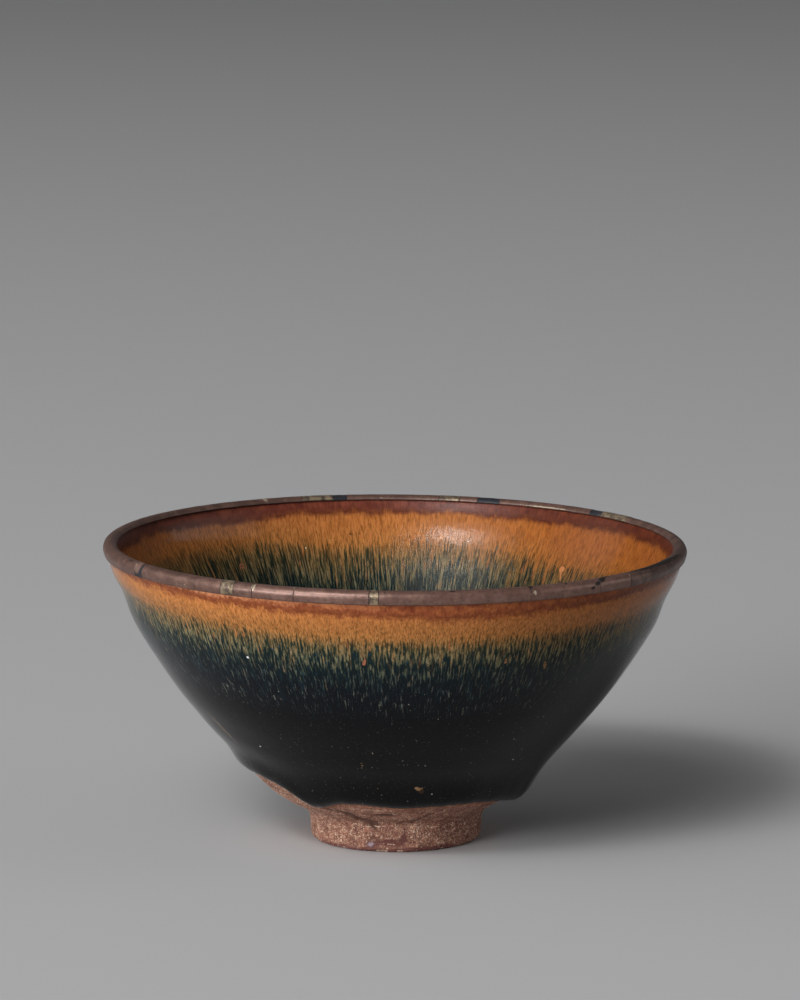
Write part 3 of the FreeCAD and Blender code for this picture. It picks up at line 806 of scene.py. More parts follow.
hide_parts("glaze_coat")
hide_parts("stoneware_body")
for piece in [glaze, clay] + strips + gilding + fillings:
    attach(piece, "root")
print("strips", len(strips), "gilt mends", len(gilding), "lacquer mends", len(fillings))

# %% [markdown]
# ## Mixing finishes
# A finish here is a small recipe of nodes: a few textures, measured in millimetres on the surface, choose
# between colours. The helper below keeps such recipes short. Every recipe ends in a Principled surface, whose
# plain numbers are set straight on its sockets.

# %% A helper for recipes
def give(tree, socket, value):
    """Feeds a socket with another node's output, a colour or a number; None leaves it alone."""
    if isinstance(value, bpy.types.NodeSocket):
        tree.links.new(value, socket)
    elif isinstance(value, (tuple, list)) and len(value) == 3 and socket.type == "RGBA":
        socket.default_value = (*value, 1)
    elif value is not None:
        socket.default_value = value


def add_node(tree, kind, *values, **settings):
    """A node with its settings, and what its inputs get, in their order."""
    node = tree.nodes.new(kind)
    for setting, value in settings.items():
        setattr(node, setting, value)
    for socket, value in zip(node.inputs, values):
        give(tree, socket, value)
    return node


class Finish:
    """Builds one node material, step by step."""

    def __init__(self, name):
        self.material = bpy.data.materials.new(name)
        self.material.use_nodes = True
        self.tree = self.material.node_tree
        self.tree.nodes.clear()
        self.surface = self.add("ShaderNodeBsdfPrincipled")
        self.add("ShaderNodeOutputMaterial", self.surface.outputs[0])

    def add(self, kind, *values, **settings):
        return add_node(self.tree, kind, *values, **settings)

    def place(self):
        """The place on the piece, in metres."""
        return self.add("ShaderNodeTexCoord").outputs["Object"]

    def mark(self, name):
        return self.add("ShaderNodeAttribute", attribute_name=name).outputs["Fac"]

    def sum(self, operation, *values):
        return self.add("ShaderNodeMath", *values, operation=operation).outputs[0]

    def product(self, first, *others):
        for other in others:
            first = self.sum("MULTIPLY", first, other)
        return first

    def vector(self, operation, *values):
        return self.add("ShaderNodeVectorMath", *values, operation=operation).outputs[0]

    def frayed(self, value, noise, amount):
        """A value pushed up and down by a noise around one half, so that its border frays."""
        return self.sum("MULTIPLY_ADD", self.sum("SUBTRACT", noise, 0.5), amount, value)

    def step(self, value, low, high):
        """Zero below one value, one above the other, eased between."""
        node = self.add("ShaderNodeMapRange", value, low, high, 0.0, 1.0, interpolation_type="SMOOTHSTEP")
        return node.outputs[0]

    def level(self, share, low, high):
        """A plain number that goes evenly from low to high with a share."""
        return self.add("ShaderNodeMapRange", share, 0.0, 1.0, low, high).outputs[0]

    def mix(self, share, first, second, blend="MIX"):
        node = self.add("ShaderNodeMix", data_type="RGBA", blend_type=blend)
        for name, value in (("Factor_Float", share), ("A_Color", first), ("B_Color", second)):
            give(self.tree, next(socket for socket in node.inputs if socket.identifier == name), value)
        return next(socket for socket in node.outputs if socket.identifier == "Result_Color")

    def shade(self, share, colour, by):
        """A colour multiplied by another, as far as a share says."""
        return self.mix(share, colour, by, "MULTIPLY")

    def ramp(self, value, *stops):
        node = self.add("ShaderNodeValToRGB", value)
        ramp = node.color_ramp
        while len(ramp.elements) < len(stops):
            ramp.elements.new(0.5)
        for element, (place, colour) in zip(ramp.elements, stops):
            element.position = place
            element.color = (*colour, 1) if isinstance(colour, tuple) else (colour, colour, colour, 1)
        return node.outputs[0]

    def named(self, kind, settings, **values):
        """A node whose inputs are given by their names."""
        node = self.add(kind, **settings)
        for name, value in values.items():
            give(self.tree, node.inputs[name], value)
        return node

    def cloud(self, vector, scale, detail=3.0, roughness=0.5):
        return self.named("ShaderNodeTexNoise", {"noise_dimensions": "3D"}, Vector=vector, Scale=scale,
                          Detail=detail, Roughness=roughness).outputs[0]

    def cells(self, vector, scale):
        """The distance from the middle of the nearest cell, and a random colour for each cell."""
        node = self.named("ShaderNodeTexVoronoi", {"feature": "F1"}, Vector=vector, Scale=scale)
        return node.outputs["Distance"], node.outputs["Color"]

    def randoms(self, colour):
        return self.add("ShaderNodeSeparateColor", colour).outputs

    def bump(self, height, distance, strength):
        node = self.named("ShaderNodeBump", {}, Strength=strength, Distance=distance, Height=height)
        return node.outputs[0]

    def set(self, **values):
        """Values of the Principled surface, by the names of its sockets."""
        for name, value in values.items():
            give(self.tree, self.surface.inputs[name.replace("_", " ")], value)

    def finish(self, piece, slot, **values):
        self.set(**values)
        for each in piece if isinstance(piece, list) else [piece]:
            each.data.materials.clear()
            each.data.materials.append(self.material)
        print(self.material.name, "nodes", len(self.tree.nodes), "links", len(self.tree.links))

# %% [markdown]
# ## Hare's fur
# In the kiln the iron in the glaze came to its surface as fine crystals, and gravity drew them out into
# hairs. The lip is a dry rust brown, then comes a band of ochre, and below it the ochre breaks into hairs of
# olive and gold over blue black, fewer and fewer, until the glaze is plain black. The hairs follow the wall
# downwards, so their texture is laid on a drum: the direction around the bowl, and the distance from the lip.
# That closes around the turn and has no seam. Stretched cells give single blades of hair, and stretched
# clouds fray the border of the ochre.

# %% Coordinates of the hairs
HAIR_RADIUS, BLOOM_LOW, BLOOM_HIGH = 56.0, -24.0, 8.0
hair = Finish("hares_fur_glaze")
place = hair.place()
flat_way = hair.vector("NORMALIZE", hair.vector("MULTIPLY", place, (1.0, 1.0, 0.0)))
fall_mark, flow_mark, bloom_mark = hair.mark("fall"), hair.mark("flow"), hair.mark("bloom")
red_mark, edge_mark = hair.mark("red"), hair.mark("above_edge")
inside_share = hair.step(fall_mark, 0.5, -0.5)
bloom_share = hair.add("ShaderNodeMapRange", bloom_mark, BLOOM_LOW, BLOOM_HIGH, 0.0, 1.0).outputs[0]


def drum(across, down, slide=0.0):
    """A vector whose unit is a width across and a length down the wall, in millimetres."""
    wide = hair.vector("MULTIPLY", flat_way, (HAIR_RADIUS / across,) * 3)
    long = hair.sum("MULTIPLY_ADD", flow_mark, 1 / down, slide)
    return hair.vector("ADD", wide, hair.add("ShaderNodeCombineXYZ", 0.0, 0.0, long).outputs[0])


def wander(vector, amount, across, down):
    """Lets hairs wander a little from side to side as they run down."""
    noise = hair.add("ShaderNodeTexNoise", drum(across, down, 7.0), noise_dimensions="3D").outputs[1]
    centred = hair.vector("SUBTRACT", noise, (0.5,) * 3)
    return hair.vector("ADD", vector, hair.vector("MULTIPLY", centred, (amount,) * 3))


def by_bloom(*stops):
    """A colour or level for each height above or below the border of the ochre, in millimetres."""
    whole = BLOOM_HIGH - BLOOM_LOW
    return hair.ramp(bloom_share, *(((rise - BLOOM_LOW) / whole, value) for rise, value in stops))


print("glaze nodes so far", len(hair.tree.nodes))

# %% [markdown]
# One stretched cloud decides everything about the hairs. Where it is brighter than a threshold there is a
# light hair, and the threshold climbs with the way down: near the lip nearly all is ochre and the dark shows
# as flecks, further down the light shows as separate blades. A second cloud adds the few late hairs that
# stand alone in the black. Painted hairs could be copied one by one, but a rule keeps them as sharp as the
# view asks for.

# %% Hairs, flecks and their cover
hair_cloud = hair.cloud(wander(drum(0.37, 2.3), 0.55, 2.1, 2.9), 1.0, 3.0, 0.46)
cluster = hair.cloud(drum(2.3, 4.2, 3.0), 1.0, 2.0, 0.5)
threshold = by_bloom((-24, 0.86), (-19, 0.72), (-15, 0.650), (-11, 0.616), (-8, 0.586), (-5, 0.540),
                     (-2.5, 0.480), (-0.8, 0.460), (0.7, 0.395), (4, 0.12))
over = hair.sum("SUBTRACT", hair.frayed(hair_cloud, cluster, 0.20), threshold)
light = hair.step(over, -0.085, 0.045)
core = hair.step(over, 0.005, 0.125)
fleck_cloud = hair.cloud(wander(drum(0.20, 0.90, 9.0), 0.8, 1.2, 1.5), 1.0, 2.0, 0.55)
fleck_threshold = by_bloom((-24, 0.80), (-8, 0.62), (-2, 0.53), (0, 0.505), (2, 0.515), (4, 0.535), (8, 0.56))
fleck = hair.step(hair.sum("SUBTRACT", fleck_cloud, fleck_threshold), -0.05, 0.10)
late_cloud = hair.cloud(wander(drum(0.45, 2.9, 45.0), 0.6, 2.1, 2.9), 1.0, 2.0, 0.45)
late = hair.product(hair.step(late_cloud, 0.645, 0.73),
                    by_bloom((-17.5, 0.0), (-14.5, 0.8), (-11.5, 0.8), (-9, 0.45), (-4, 0.0)))
print("glaze nodes so far", len(hair.tree.nodes))

# %% [markdown]
# The ground between the hairs goes from ochre through a dark blue green to black. A hair has an olive edge
# and a pale core, and both cool down with the way from the lip. Each of these is one ramp over the height
# above or below the border of the ochre. Clouds then warm some tufts, turn some blotches grey green and
# mottle the whole, because a ramp alone looks airbrushed.

# %% Colours from the lip to the black
DEEP_BLUE, WARM_TUFT, GREY_GREEN = (0.0038, 0.0165, 0.024), (0.40, 0.160, 0.046), (0.070, 0.090, 0.058)
LATE_COOL, LATE_WARM, MOTTLED = (0.055, 0.078, 0.076), (0.190, 0.190, 0.140), (0.72, 0.66, 0.59)
tuft = hair.cloud(drum(0.95, 5.0, 21.0), 1.0, 2.0, 0.5)
mottle = hair.cloud(drum(0.55, 1.3, 2.0), 1.0, 3.0, 0.6)
blotch = hair.cloud(drum(2.4, 2.2, 6.0), 1.0, 4.0, 0.62)
dark = by_bloom((-24, (0.0028, 0.0028, 0.0029)), (-18, (0.0028, 0.0031, 0.0038)),
                (-12, (0.0030, 0.0045, 0.0070)), (-7, (0.0036, 0.0085, 0.0110)),
                (-3, (0.0068, 0.0155, 0.0145)), (-0.5, (0.018, 0.025, 0.014)), (2, (0.070, 0.043, 0.012)),
                (6, (0.17, 0.072, 0.018)))
olive = by_bloom((-24, (0.006, 0.009, 0.012)), (-16, (0.011, 0.019, 0.024)), (-11, (0.016, 0.028, 0.032)),
                 (-7, (0.028, 0.044, 0.038)), (-3.5, (0.062, 0.072, 0.046)), (-1, (0.118, 0.096, 0.046)),
                 (1.5, (0.225, 0.110, 0.032)), (6, (0.32, 0.125, 0.034)))
pale = by_bloom((-24, (0.024, 0.033, 0.040)), (-16, (0.040, 0.058, 0.064)), (-11, (0.060, 0.082, 0.078)),
                (-7, (0.105, 0.122, 0.088)), (-3.5, (0.205, 0.186, 0.108)), (-1, (0.30, 0.198, 0.086)),
                (1.5, (0.545, 0.226, 0.066)), (6, (0.57, 0.213, 0.062)))
flecked = by_bloom((-8, (0.014, 0.020, 0.018)), (-2, (0.050, 0.048, 0.022)), (1, (0.125, 0.070, 0.020)),
                   (5, (0.215, 0.082, 0.020)))
blue_share = hair.product(hair.step(tuft, 0.50, 0.68), by_bloom((-18, 0.0), (-10, 0.6), (-2, 0.6), (1, 0.0)))
warm_share = hair.product(hair.step(tuft, 0.47, 0.38),
                          by_bloom((-16, 0.0), (-9, 0.30), (-1, 0.42), (3, 0.35)))
green_share = hair.product(hair.step(blotch, 0.50, 0.64),
                           by_bloom((-14, 0.3), (-4, 0.6), (0, 0.35), (2, 0.0)))
fleck_share = hair.product(fleck, by_bloom((-14, 0.35), (-4, 0.60), (-1, 0.76), (3, 0.74), (8, 0.62)))
dark = hair.mix(blue_share, dark, DEEP_BLUE)
pale = hair.mix(green_share, hair.mix(warm_share, pale, WARM_TUFT), GREY_GREEN)
hairs = hair.mix(fleck_share, hair.mix(core, olive, pale), flecked)
hairs = hair.shade(hair.step(mottle, 0.66, 0.32), hairs, MOTTLED)
body = hair.mix(light, dark, hairs)
body = hair.mix(late, body, hair.mix(mottle, LATE_COOL, LATE_WARM))
print("glaze nodes so far", len(hair.tree.nodes))

# %% [markdown]
# Where the glaze was a little thinner, orange flames lick down through the ochre, and tiny blue crystals
# glint among the upper hairs. Cells give such single points: each cell has a random number, and only those
# above a limit light up. The inside is browner, and a painted shade darkens it as a whole, standing in for
# its own shadow.

# %% Orange flames, blue pin points and the painted shade of the inside
FLAME, BLUE_POINT, INSIDE_SHADE_AND_BROWN = (0.58, 0.205, 0.070), (0.006, 0.045, 0.075), (0.86, 0.82, 0.76)
flame = hair.cloud(wander(drum(0.9, 3.6, 31.0), 0.6, 3.0, 4.0), 1.0, 1.5, 0.4)
flame = hair.product(hair.step(flame, 0.64, 0.75),
                     by_bloom((-6, 0.0), (-3, 0.15), (0, 0.5), (4, 0.65), (7, 0.0)))
body = hair.mix(flame, body, FLAME)
blue_gap, blue_tint = hair.cells(drum(0.75, 0.9, 14.0), 1.0)
blue = hair.product(hair.step(blue_gap, 0.42, 0.26), hair.step(hair.randoms(blue_tint)[0], 0.955, 0.965),
                    by_bloom((-12, 0.0), (-8, 0.5), (-1, 0.5), (1, 0.0)))
body = hair.mix(blue, body, BLUE_POINT)
# Painted shade over the whole inside, with a browner tint.
body = hair.shade(hair.product(inside_share, by_bloom((-8, 0.0), (0, 0.8), (8, 1.0))), body, INSIDE_SHADE_AND_BROWN)
print("glaze nodes so far", len(hair.tree.nodes))

# %% [markdown]
# At the lip the glaze ran so thin that the iron dried to a matt red, with a thin darker line below it. Its
# border is frayed twice, in broad bays and in fine grains, and more calmly inside, where the real edge is
# quieter. The front left of this red gets a painted glow, a lighter orange standing in for the light it
# catches, and inside it is purple. Last, the sides of the bowl get a painted shade. Paint on the vertices
# could carry all this, but the fine fray would need far more points.

# %% The rust of the lip
RUST, BRIGHT_RUST, RUST_MOTTLED = (0.230, 0.054, 0.022), (0.40, 0.125, 0.042), (0.62, 0.52, 0.46)
LIT_RUST, DIM_LIT_RUST = (0.74, 0.305, 0.145), (0.56, 0.218, 0.104)
PURPLE, PALE_PURPLE, PURPLE_MOTTLED = (0.115, 0.026, 0.016), (0.195, 0.052, 0.030), (0.68, 0.62, 0.58)
LINE_OUTSIDE, LINE_INSIDE, PAINTED_SHADE_TONE = (0.150, 0.034, 0.014), (0.090, 0.020, 0.012), (0.60, 0.50, 0.32)
red_edge = hair.frayed(red_mark, hair.cloud(drum(5.0, 5.0, 16.0), 1.0, 3.0, 0.5), 2.4)
ragged = hair.sum("MULTIPLY_ADD", inside_share, -1.5, 2.6)
red_edge = hair.frayed(red_edge, hair.cloud(place, 1300.0, 3.0, 0.6), ragged)
patchy, mottled = hair.step(blotch, 0.34, 0.66), hair.step(mottle, 0.55, 0.30)
rust_red = hair.shade(mottled, hair.mix(patchy, RUST, BRIGHT_RUST), RUST_MOTTLED)
# Painted light: the front left of the red lip turns a lighter orange, as if lit.
lit_rust = hair.mix(hair.step(mottle, 0.62, 0.36), LIT_RUST, DIM_LIT_RUST)
rust_red = hair.mix(hair.product(hair.mark("glow"), hair.step(red_edge, 0.7, 1.9)), rust_red, lit_rust)
purple = hair.shade(mottled, hair.mix(patchy, PURPLE, PALE_PURPLE), PURPLE_MOTTLED)
body = hair.mix(hair.step(red_edge, -1.3, 1.3), body, hair.mix(inside_share, rust_red, purple))
rust_line = hair.sum("SUBTRACT", hair.step(red_edge, -1.0, 0.2), hair.step(red_edge, 0.3, 1.6))
rust_line = hair.product(rust_line, hair.step(blotch, 0.32, 0.56), 0.85)
body = hair.mix(rust_line, body, hair.mix(inside_share, LINE_OUTSIDE, LINE_INSIDE))
# Painted shade on the sides of the bowl.
body = hair.shade(hair.mark("painted_shade"), body, PAINTED_SHADE_TONE)
print("glaze nodes so far", len(hair.tree.nodes))

# %% [markdown]
# Small things make the glaze believable: above all the pin-sized tan and white specks in the black, where the
# glaze closed over grains of the clay. Particles on the surface could be scattered there, but flat cells in
# three sizes give the same look. For single spots, a measured distance from a place on the bowl is worn a
# little by noise.

# %% Specks
TAN_SPECK, WHITE_SPECK, RIM_FRAY = (0.30, 0.18, 0.09), (0.46, 0.45, 0.42), 0.0004


def on_glaze(degrees, spot_height, within=False):
    """The spot of the glazed surface in a direction and at a height, outside or within the bowl."""
    column = round(degrees % 360 * coat_columns / 360) % coat_columns
    rows = coat_rows[(fall[:, 0] < 0) == within, column]
    rows = rows[np.argsort(rows[:, 1])]
    radius = np.interp(spot_height, rows[:, 1], rows[:, 0])
    return lean(around(np.array([radius, spot_height]), degrees)) / METRE


def around_place(degrees, spot_height, size, softness=0.25, within=False):
    """One inside a ball of a size around a spot of the glaze, nothing outside it, with an uneven rim."""
    centre = tuple(on_glaze(degrees, spot_height, within))
    gap = hair.add("ShaderNodeVectorMath", place, centre, operation="DISTANCE").outputs["Value"]
    gap = hair.frayed(gap, mottle, RIM_FRAY)
    return hair.step(gap, size * (1 + softness) / METRE, size * (1 - softness) / METRE)


for scale, size, strength in ((640.0, 0.13, 0.95), (1150.0, 0.14, 0.75), (2400.0, 0.22, 0.38)):
    speck_gap, speck_tint = hair.cells(place, scale)
    speck_random, speck_level, speck_warm = hair.randoms(speck_tint)
    speck = hair.product(hair.step(speck_gap, size, size * 0.4), hair.step(speck_random, 0.45, 0.60),
                         hair.sum("POWER", speck_level, 2.5), strength, hair.step(bloom_mark, -7.0, -15.0))
    body = hair.mix(speck, body, hair.mix(speck_warm, TAN_SPECK, WHITE_SPECK))
print("glaze nodes so far", len(hair.tree.nodes))

# %% [markdown]
# A few marks are this bowl's own: drops of iron with a tail, each a short chain of balls down the wall, a
# pink one at the front, a tan nick near the lower edge, a white speck, and a rubbed place at the left. They
# are given one by one, as direction, height, size and colour. Decals would need pictures; these balls are
# plain distances.

# %% Single spots, outside and within
PINK, WHITE_GRAIN, TAIL = (0.36, 0.12, 0.065), (0.8, 0.8, 0.8), (0.34, 0.128, 0.042)
BROWN_DROP, LOWER_DROP, SMALL_DROP = (0.20, 0.10, 0.035), (0.18, 0.09, 0.03), (0.22, 0.10, 0.045)
spots_outside = [
    (34.0, 46.6, 0.34, BROWN_DROP), (34.2, 46.0, 0.40, BROWN_DROP), (34.4, 45.4, 0.30, LOWER_DROP),
    (24.0, 48.2, 0.26, SMALL_DROP), (24.0, 47.6, 0.32, SMALL_DROP), (-6.1, 48.6, 0.24, PINK),
    (-6.2, 48.2, 0.30, PINK), (-6.3, 47.8, 0.28, PINK), (-32.6, 47.4, 0.28, WHITE_GRAIN),
    (10.3, 16.4, 0.60, (0.030, 0.014, 0.007)), (8.3, 17.3, 0.36, TAN_SPECK),
    (9.2, 17.0, 0.48, (0.26, 0.14, 0.06)), (10.2, 17.2, 0.26, (0.20, 0.11, 0.05)),
    (-9.8, 23.6, 0.16, (0.20, 0.13, 0.06)), (-9.7, 23.0, 0.18, (0.24, 0.15, 0.07)),
    (-9.9, 22.4, 0.15, (0.16, 0.11, 0.06)), (-44.0, 25.0, 0.22, (0.55, 0.52, 0.48)),
    (41.1, 22.6, 0.20, (0.50, 0.46, 0.42)),
]
# Within, the near-white spot at 163 degrees is a painted glint in the pool of light on the inside.
spots_within = [
    (136.6, 51.0, 0.72, (0.40, 0.145, 0.045)), (-140.7, 50.7, 0.55, (0.30, 0.10, 0.05)),
    (-140.7, 50.7, 0.26, (0.08, 0.05, 0.03)), (-169.7, 55.7, 0.20, (0.06, 0.03, 0.015)),
    (-158.8, 53.2, 0.20, (0.8, 0.7, 0.5)), (163.0, 54.6, 0.18, (0.85, 0.80, 0.75)),
]
spots_within += [(136.5 - 0.7 * way, 50.4 - 1.6 * way, 0.32 - 0.16 * way, TAIL)
                 for way in np.linspace(0, 1, 6)]
for within, table in ((False, spots_outside), (True, spots_within)):
    for degrees, spot_height, size, colour in table:
        body = hair.mix(around_place(degrees, spot_height, size, 0.25, within), body, colour)
rubbed_colour = hair.mix(mottle, (0.10, 0.080, 0.060), (0.26, 0.165, 0.115))
for share in np.linspace(0, 1, 7):
    rubbed = around_place(-60.9 + 3.8 * share, 30.3 - 5.9 * share,
                          0.50 + 0.35 * math.sin(math.pi * share), 0.5)
    body = hair.mix(hair.product(rubbed, 0.45), body, rubbed_colour)
print("glaze nodes so far", len(hair.tree.nodes))

# %% [markdown]
# Where the glaze stopped it leaves a thin brown fringe. The surface is glossy on the black and drier on the
# red lip. Hairs and flecks stand a hair's breadth apart in height, and a few pits burst through the skin. A
# bump is enough for them: they are far too fine for the mesh, and only the gloss shows them.

# %% Fringe, gloss and skin of the glaze
FRINGE_BROWN = (0.115, 0.044, 0.022)
fringe = hair.step(hair.sum("MULTIPLY_ADD", mottle, -0.5, edge_mark), 1.15, 0.15)
body = hair.mix(hair.product(fringe, 0.85), body, FRINGE_BROWN)
skin_height = hair.sum("MULTIPLY_ADD", light, -0.35, hair.cloud(place, 900.0, 2.0, 0.5))
skin_height = hair.sum("MULTIPLY_ADD", fleck, 0.25, skin_height)
pits = hair.step(hair.cells(place, 1500.0)[0], 0.20, 0.05)
skin_height = hair.sum("MULTIPLY_ADD", pits, -0.6, skin_height)
gloss = hair.level(hair.cloud(place, 260.0, 3.0, 0.6), 0.07, 0.13)
gloss = hair.level(hair.step(red_edge, -0.5, 0.6), gloss, 0.30)
hair.finish(glaze, "glaze", Base_Color=body, Roughness=gloss, IOR=1.5, Specular_IOR_Level=0.15,
            Normal=hair.bump(skin_height, 0.00006, 0.5))

# %% [markdown]
# ## Burnt clay
# The body is coarse: grains of pale quartz and felspar lie in a red-brown clay, and the knife dragged some of
# them out. The meshed grains carry a mark, so the bright colour sits exactly on the bumps. Dents get a
# painted shade, darker inside them, and the ridge of the foot, the rim of the slash and a strip under the
# glaze get a painted highlight. The worn resting edge is purple brown.

# %% The clay's finish
PALE_GRAIN, GRIT, PALE_EDGE_AND_HIGHLIGHT = (0.92, 0.68, 0.51), (0.78, 0.57, 0.42), (0.72, 0.50, 0.36)
DENT_SHADE, SCORCHED, WASHED = (0.082, 0.034, 0.022), (0.130, 0.038, 0.034), (0.270, 0.115, 0.070)
FRINGE, GLAZE_DROP = (0.30, 0.110, 0.050), (0.36, 0.27, 0.31)
earth = Finish("burnt_clay")
soil = earth.place()
slope_mark = earth.mark("slope")
fine = earth.cloud(soil, 1500.0, 4.0, 0.65)
medium = earth.cloud(soil, 420.0, 3.0, 0.6)
clay_colour = earth.mix(earth.step(medium, 0.22, 0.78), (0.150, 0.056, 0.037), (0.345, 0.156, 0.102))
clay_colour = earth.mix(earth.step(fine, 0.50, 0.74), clay_colour, (0.56, 0.335, 0.225))
clay_colour = earth.mix(earth.step(fine, 0.47, 0.30), clay_colour, (0.105, 0.040, 0.026))
clay_colour = earth.shade(earth.step(earth.mark("lumps"), 0.2, 1.4), clay_colour, (1.25, 1.2, 1.18))
clay_colour = earth.mix(earth.product(slope_mark, 0.20), clay_colour, WASHED)
grain_covers = []
for scale, share in ((4000.0, 0.58), (2500.0, 0.74)):
    grain_gap, grain_tint = earth.cells(soil, scale)
    grain_random = earth.sum("MULTIPLY_ADD", slope_mark, -0.06, earth.randoms(grain_tint)[0])
    grain_covers.append(earth.product(earth.step(grain_gap, 0.44, 0.24),
                                      earth.step(grain_random, share, share + 0.08)))
grain_cover = earth.sum("MAXIMUM", *grain_covers)
grit_share = earth.step(earth.sum("MULTIPLY_ADD", slope_mark, -0.35, earth.mark("grit")), 0.75, 1.30)
scorch_share = earth.step(earth.sum("MULTIPLY_ADD", medium, 0.7, earth.mark("scorch")), 0.60, 1.10)
# Painted shade inside the dents: the slash, bruise, crease and scratch turn darker.
dent_shade_share = earth.step(earth.frayed(earth.mark("dent"), fine, 1.1), 0.15, 0.95)
fringe_share = earth.step(earth.sum("MULTIPLY_ADD", medium, 1.6, earth.mark("below_line")), 3.4, 2.2)
layers = [
    (earth.product(grain_cover, earth.step(medium, 0.30, 0.62)), PALE_GRAIN),
    (earth.product(grit_share, 0.60), GRIT),
    (earth.product(scorch_share, 0.85), SCORCHED), (earth.product(dent_shade_share, 0.90), DENT_SHADE),
    # Pale chips and flake lines, with painted highlights on the ridge, the slash's rim and under the glaze.
    (earth.step(earth.mark("pale"), 0.30, 1.0), PALE_EDGE_AND_HIGHLIGHT), (earth.product(fringe_share, 0.50), FRINGE),
    (earth.step(earth.mark("gloss_spot"), 0.30, 0.9), GLAZE_DROP),
]
for share, colour in layers:
    clay_colour = earth.mix(share, clay_colour, colour)
rough_height = earth.sum("MULTIPLY_ADD", grain_cover, 0.8, fine)
earth.finish(clay, "clay", Base_Color=clay_colour,
             Roughness=earth.level(earth.mark("gloss_spot"), 0.86, 0.22),
             Normal=earth.bump(rough_height, 0.00008, 0.8))

# %% [markdown]
# ## Tarnished silver and gilt
# Old silver turns a purplish brown-grey, with a satin sheen where fingers rub it. The tarnish is a dull film
# over metal, so the finish is only partly metallic: a full metal would mirror the studio too clearly, and a
# plain brown would lose the sheen. Fine clouds fray the borders of the dark and bright marks, which came with
# the mesh.

# %% The silver's finish
SOOT, WORN_SILVER, EDGE_DIRT = (0.022, 0.015, 0.013), (0.46, 0.38, 0.27), (0.040, 0.027, 0.024)
silver = Finish("tarnished_silver")
band = silver.place()
edge_mark = silver.mark("edge")
cloudy = silver.cloud(band, 380.0, 5.0, 0.65)
fine_cloud = silver.cloud(band, 1400.0, 4.0, 0.7)
tarnish = silver.mix(silver.mark("shade"), (0.060, 0.032, 0.022), (0.262, 0.137, 0.106))
tarnish = silver.mix(silver.product(silver.step(cloudy, 0.42, 0.66), 0.6), tarnish, (0.270, 0.155, 0.120))
tarnish = silver.mix(silver.product(silver.step(fine_cloud, 0.58, 0.30), 0.5), tarnish, (0.050, 0.032, 0.028))
dark_share = silver.step(silver.frayed(silver.mark("dark"), fine_cloud, 1.3), 0.42, 0.62)
bright_share = silver.step(silver.frayed(silver.mark("bright"), fine_cloud, 1.3), 0.45, 0.70)
tarnish = silver.mix(bright_share, silver.mix(dark_share, tarnish, SOOT), WORN_SILVER)
tarnish = silver.mix(silver.product(edge_mark, 0.80), tarnish, EDGE_DIRT)
satin = silver.level(cloudy, 0.30, 0.50)
satin = silver.level(silver.sum("MAXIMUM", dark_share, edge_mark), satin, 0.62)
silver.finish(strips, "binding_metal", Base_Color=tarnish, Metallic=0.45, Roughness=satin,
              Specular_IOR_Level=0.6, Normal=silver.bump(silver.sum("ADD", cloudy, fine_cloud), 0.00004, 0.5))

# %% [markdown]
# The gilt mends are a thin leaf over a brown ground, rubbed through in many places. One cloud serves three
# ends: it chooses between leaf and ground, sets how rough each is, and makes the small bumps, so that colour
# and light agree.

# %% The gilt mends' finish
gilt = Finish("worn_gilt")
leaf = gilt.place()
worn = gilt.cloud(leaf, 900.0, 5.0, 0.65)
gilt_colour = gilt.mix(gilt.step(worn, 0.38, 0.62), (0.105, 0.074, 0.056), (0.31, 0.235, 0.150))
gilt_colour = gilt.mix(gilt.step(gilt.cloud(leaf, 2600.0, 3.0, 0.6), 0.60, 0.74), gilt_colour,
                       (0.54, 0.46, 0.34))
gilt_edge = gilt.step(gilt.sum("MULTIPLY_ADD", worn, -0.9, gilt.mark("edge")), -0.42, 0.10)
gilt_colour = gilt.mix(gilt.product(gilt_edge, 0.9), gilt_colour, (0.085, 0.055, 0.045))
gilt.finish(gilding, "gilt_metal", Base_Color=gilt_colour, Metallic=0.55,
            Roughness=gilt.level(worn, 0.30, 0.55), Normal=gilt.bump(worn, 0.00006, 0.6))

# %% [markdown]
# ## The lacquer under the metal
# The lacquer shows only in hair gaps between strips and where a strip is lost. It was nearly black with a
# blue cast, and it is dull where it broke. The solid of the frame already has its shape, so it stays, with a
# finish of its own.

# %% The lacquer's finish
film = Finish("old_lacquer")
film_place = film.place()
crackle = film.cloud(film_place, 1100.0, 5.0, 0.7)
worn_film = film.step(film.cloud(film_place, 700.0, 4.0, 0.65), 0.52, 0.66)
bare_film = film.step(film.sum("MULTIPLY_ADD", crackle, 0.8, film.mark("bright")), 0.75, 1.05)
film_colour = film.mix(crackle, (0.006, 0.006, 0.009), (0.026, 0.028, 0.036))
film_colour = film.mix(worn_film, film_colour, (0.075, 0.052, 0.042))
film_colour = film.mix(bare_film, film_colour, (0.155, 0.092, 0.072))
film.finish([lacquer] + fillings, "lacquer", Base_Color=film_colour, Specular_IOR_Level=0.3,
            Roughness=film.level(crackle, 0.38, 0.62), Normal=film.bump(crackle, 0.00008, 0.7))

# %% [markdown]
# ## Light and floor
# The floor is plain and pale. It is one large face, so its edge is far outside the view. A plane with a
# curved back would do as well, but nothing of it would show.

# %% Floor
FLOOR_REACH = 3.0
floor_mesh = bpy.data.meshes.new("floor")
corners = [(x * FLOOR_REACH, y * FLOOR_REACH, 0) for x, y in ((-1, -1), (1, -1), (1, 1), (-1, 1))]
floor_mesh.from_pydata(corners, [], [(0, 1, 2, 3)])
floor = bpy.data.objects.new("floor", floor_mesh)
bpy.context.scene.collection.objects.link(floor)
paper = Finish("paper_floor")
paper.set(Base_Color=(0.46, 0.46, 0.465), Roughness=0.9)
floor_mesh.materials.append(paper.material)
print("floor", 2 * FLOOR_REACH, "m wide")

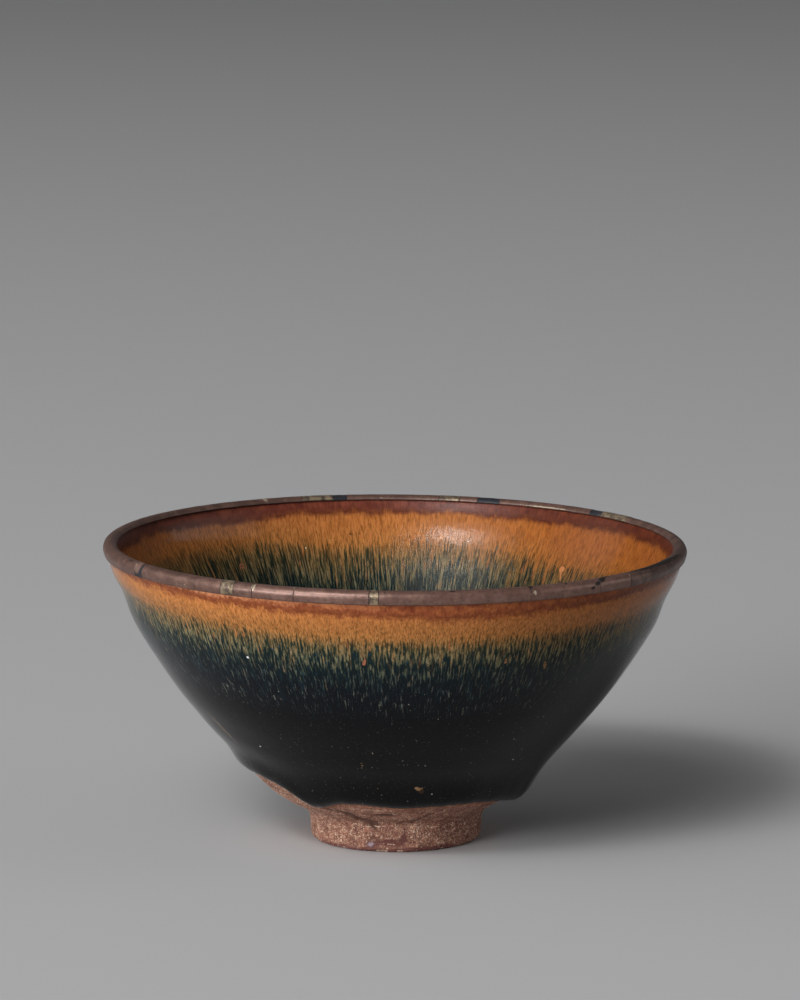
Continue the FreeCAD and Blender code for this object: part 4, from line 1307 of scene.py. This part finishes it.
# %% [markdown]
# Glossy black needs something to reflect and something to stay dark. A wide soft light stands high at the
# front left, and a narrower bright one in its middle puts the streak on the band and the pool of light inside
# the bowl. A low panel at the front left lights the foot and the outside of the wall, which turns away from
# high lights, and a faint wall of light stands at the left. A dim card at the right is tipped: its slanted
# upper edge draws the crisp veil inside the bowl at the left. The right side falls off into shade. The panels
# fade towards their rims, as real soft boxes do, except the card. No lamp is seen by the camera, but the
# gloss mirrors them all.

# %% Lights
PANEL_DISTANCE, AIM_HEIGHT, FADING_GAIN = 4.0, 0.04, 2.25


def fade_to_rim(lamp):
    """Lets a panel shine most in its middle and not at all at its rim."""
    lamp.use_nodes = True
    tree = lamp.node_tree
    emission = next(node for node in tree.nodes if node.type == "EMISSION")

    def math_node(operation, *values, **settings):
        return add_node(tree, "ShaderNodeMath", *values, operation=operation, **settings).outputs[0]

    across = add_node(tree, "ShaderNodeNewGeometry").outputs["Parametric"]
    centred = add_node(tree, "ShaderNodeVectorMath", across, (2, 2, 0), (-1, -1, 0),
                       operation="MULTIPLY_ADD").outputs[0]
    squared = add_node(tree, "ShaderNodeVectorMath", centred, centred, operation="MULTIPLY").outputs[0]
    split = add_node(tree, "ShaderNodeSeparateXYZ", squared).outputs
    sides = [math_node("SUBTRACT", 1.0, split[side], use_clamp=True) for side in (0, 1)]
    give(tree, emission.inputs["Strength"], math_node("MULTIPLY", math_node("MULTIPLY", *sides), FADING_GAIN))


def soft_panel(name, azimuth, elevation, width, tall, level, fading=True, roll=0):
    """A soft light aimed at the bowl. Its level is how bright a white card facing it would be."""
    lamp = bpy.data.lights.new(name, "AREA")
    lamp.shape, lamp.size, lamp.size_y = "RECTANGLE", width, tall
    lamp.energy = level * math.pi**2 * PANEL_DISTANCE**2
    panel = bpy.data.objects.new(name, lamp)
    bpy.context.scene.collection.objects.link(panel)
    turn, rise = math.radians(azimuth), math.radians(elevation)
    away = PANEL_DISTANCE * math.cos(rise)
    panel.location = (away * math.sin(turn), -away * math.cos(turn),
                      AIM_HEIGHT + PANEL_DISTANCE * math.sin(rise))
    aim = Euler((math.pi / 2 - rise, 0, turn)).to_matrix() @ Euler((0, 0, math.radians(roll))).to_matrix()
    panel.rotation_euler = aim.to_euler()
    panel.visible_camera = False
    if fading:
        fade_to_rim(lamp)


soft_panel("wide_panel", -34, 47, 3.4, 2.6, 0.38)
soft_panel("bright_panel", -31, 44, 1.5, 0.8, 0.28)
soft_panel("low_panel", -44, 14, 3.0, 1.3, 0.74)
soft_panel("left_wall", -100, 25, 3.3, 2.8, 0.11)
soft_panel("right_card", 90, 20, 3.4, 1.2, 0.11, fading=False, roll=-26)
air = bpy.data.worlds.new("studio_air")
air.use_nodes = True
air.node_tree.nodes["Background"].inputs["Color"].default_value = (0.09, 0.09, 0.093, 1)
air.node_tree.nodes["Background"].inputs["Strength"].default_value = 1.0
bpy.context.scene.world = air
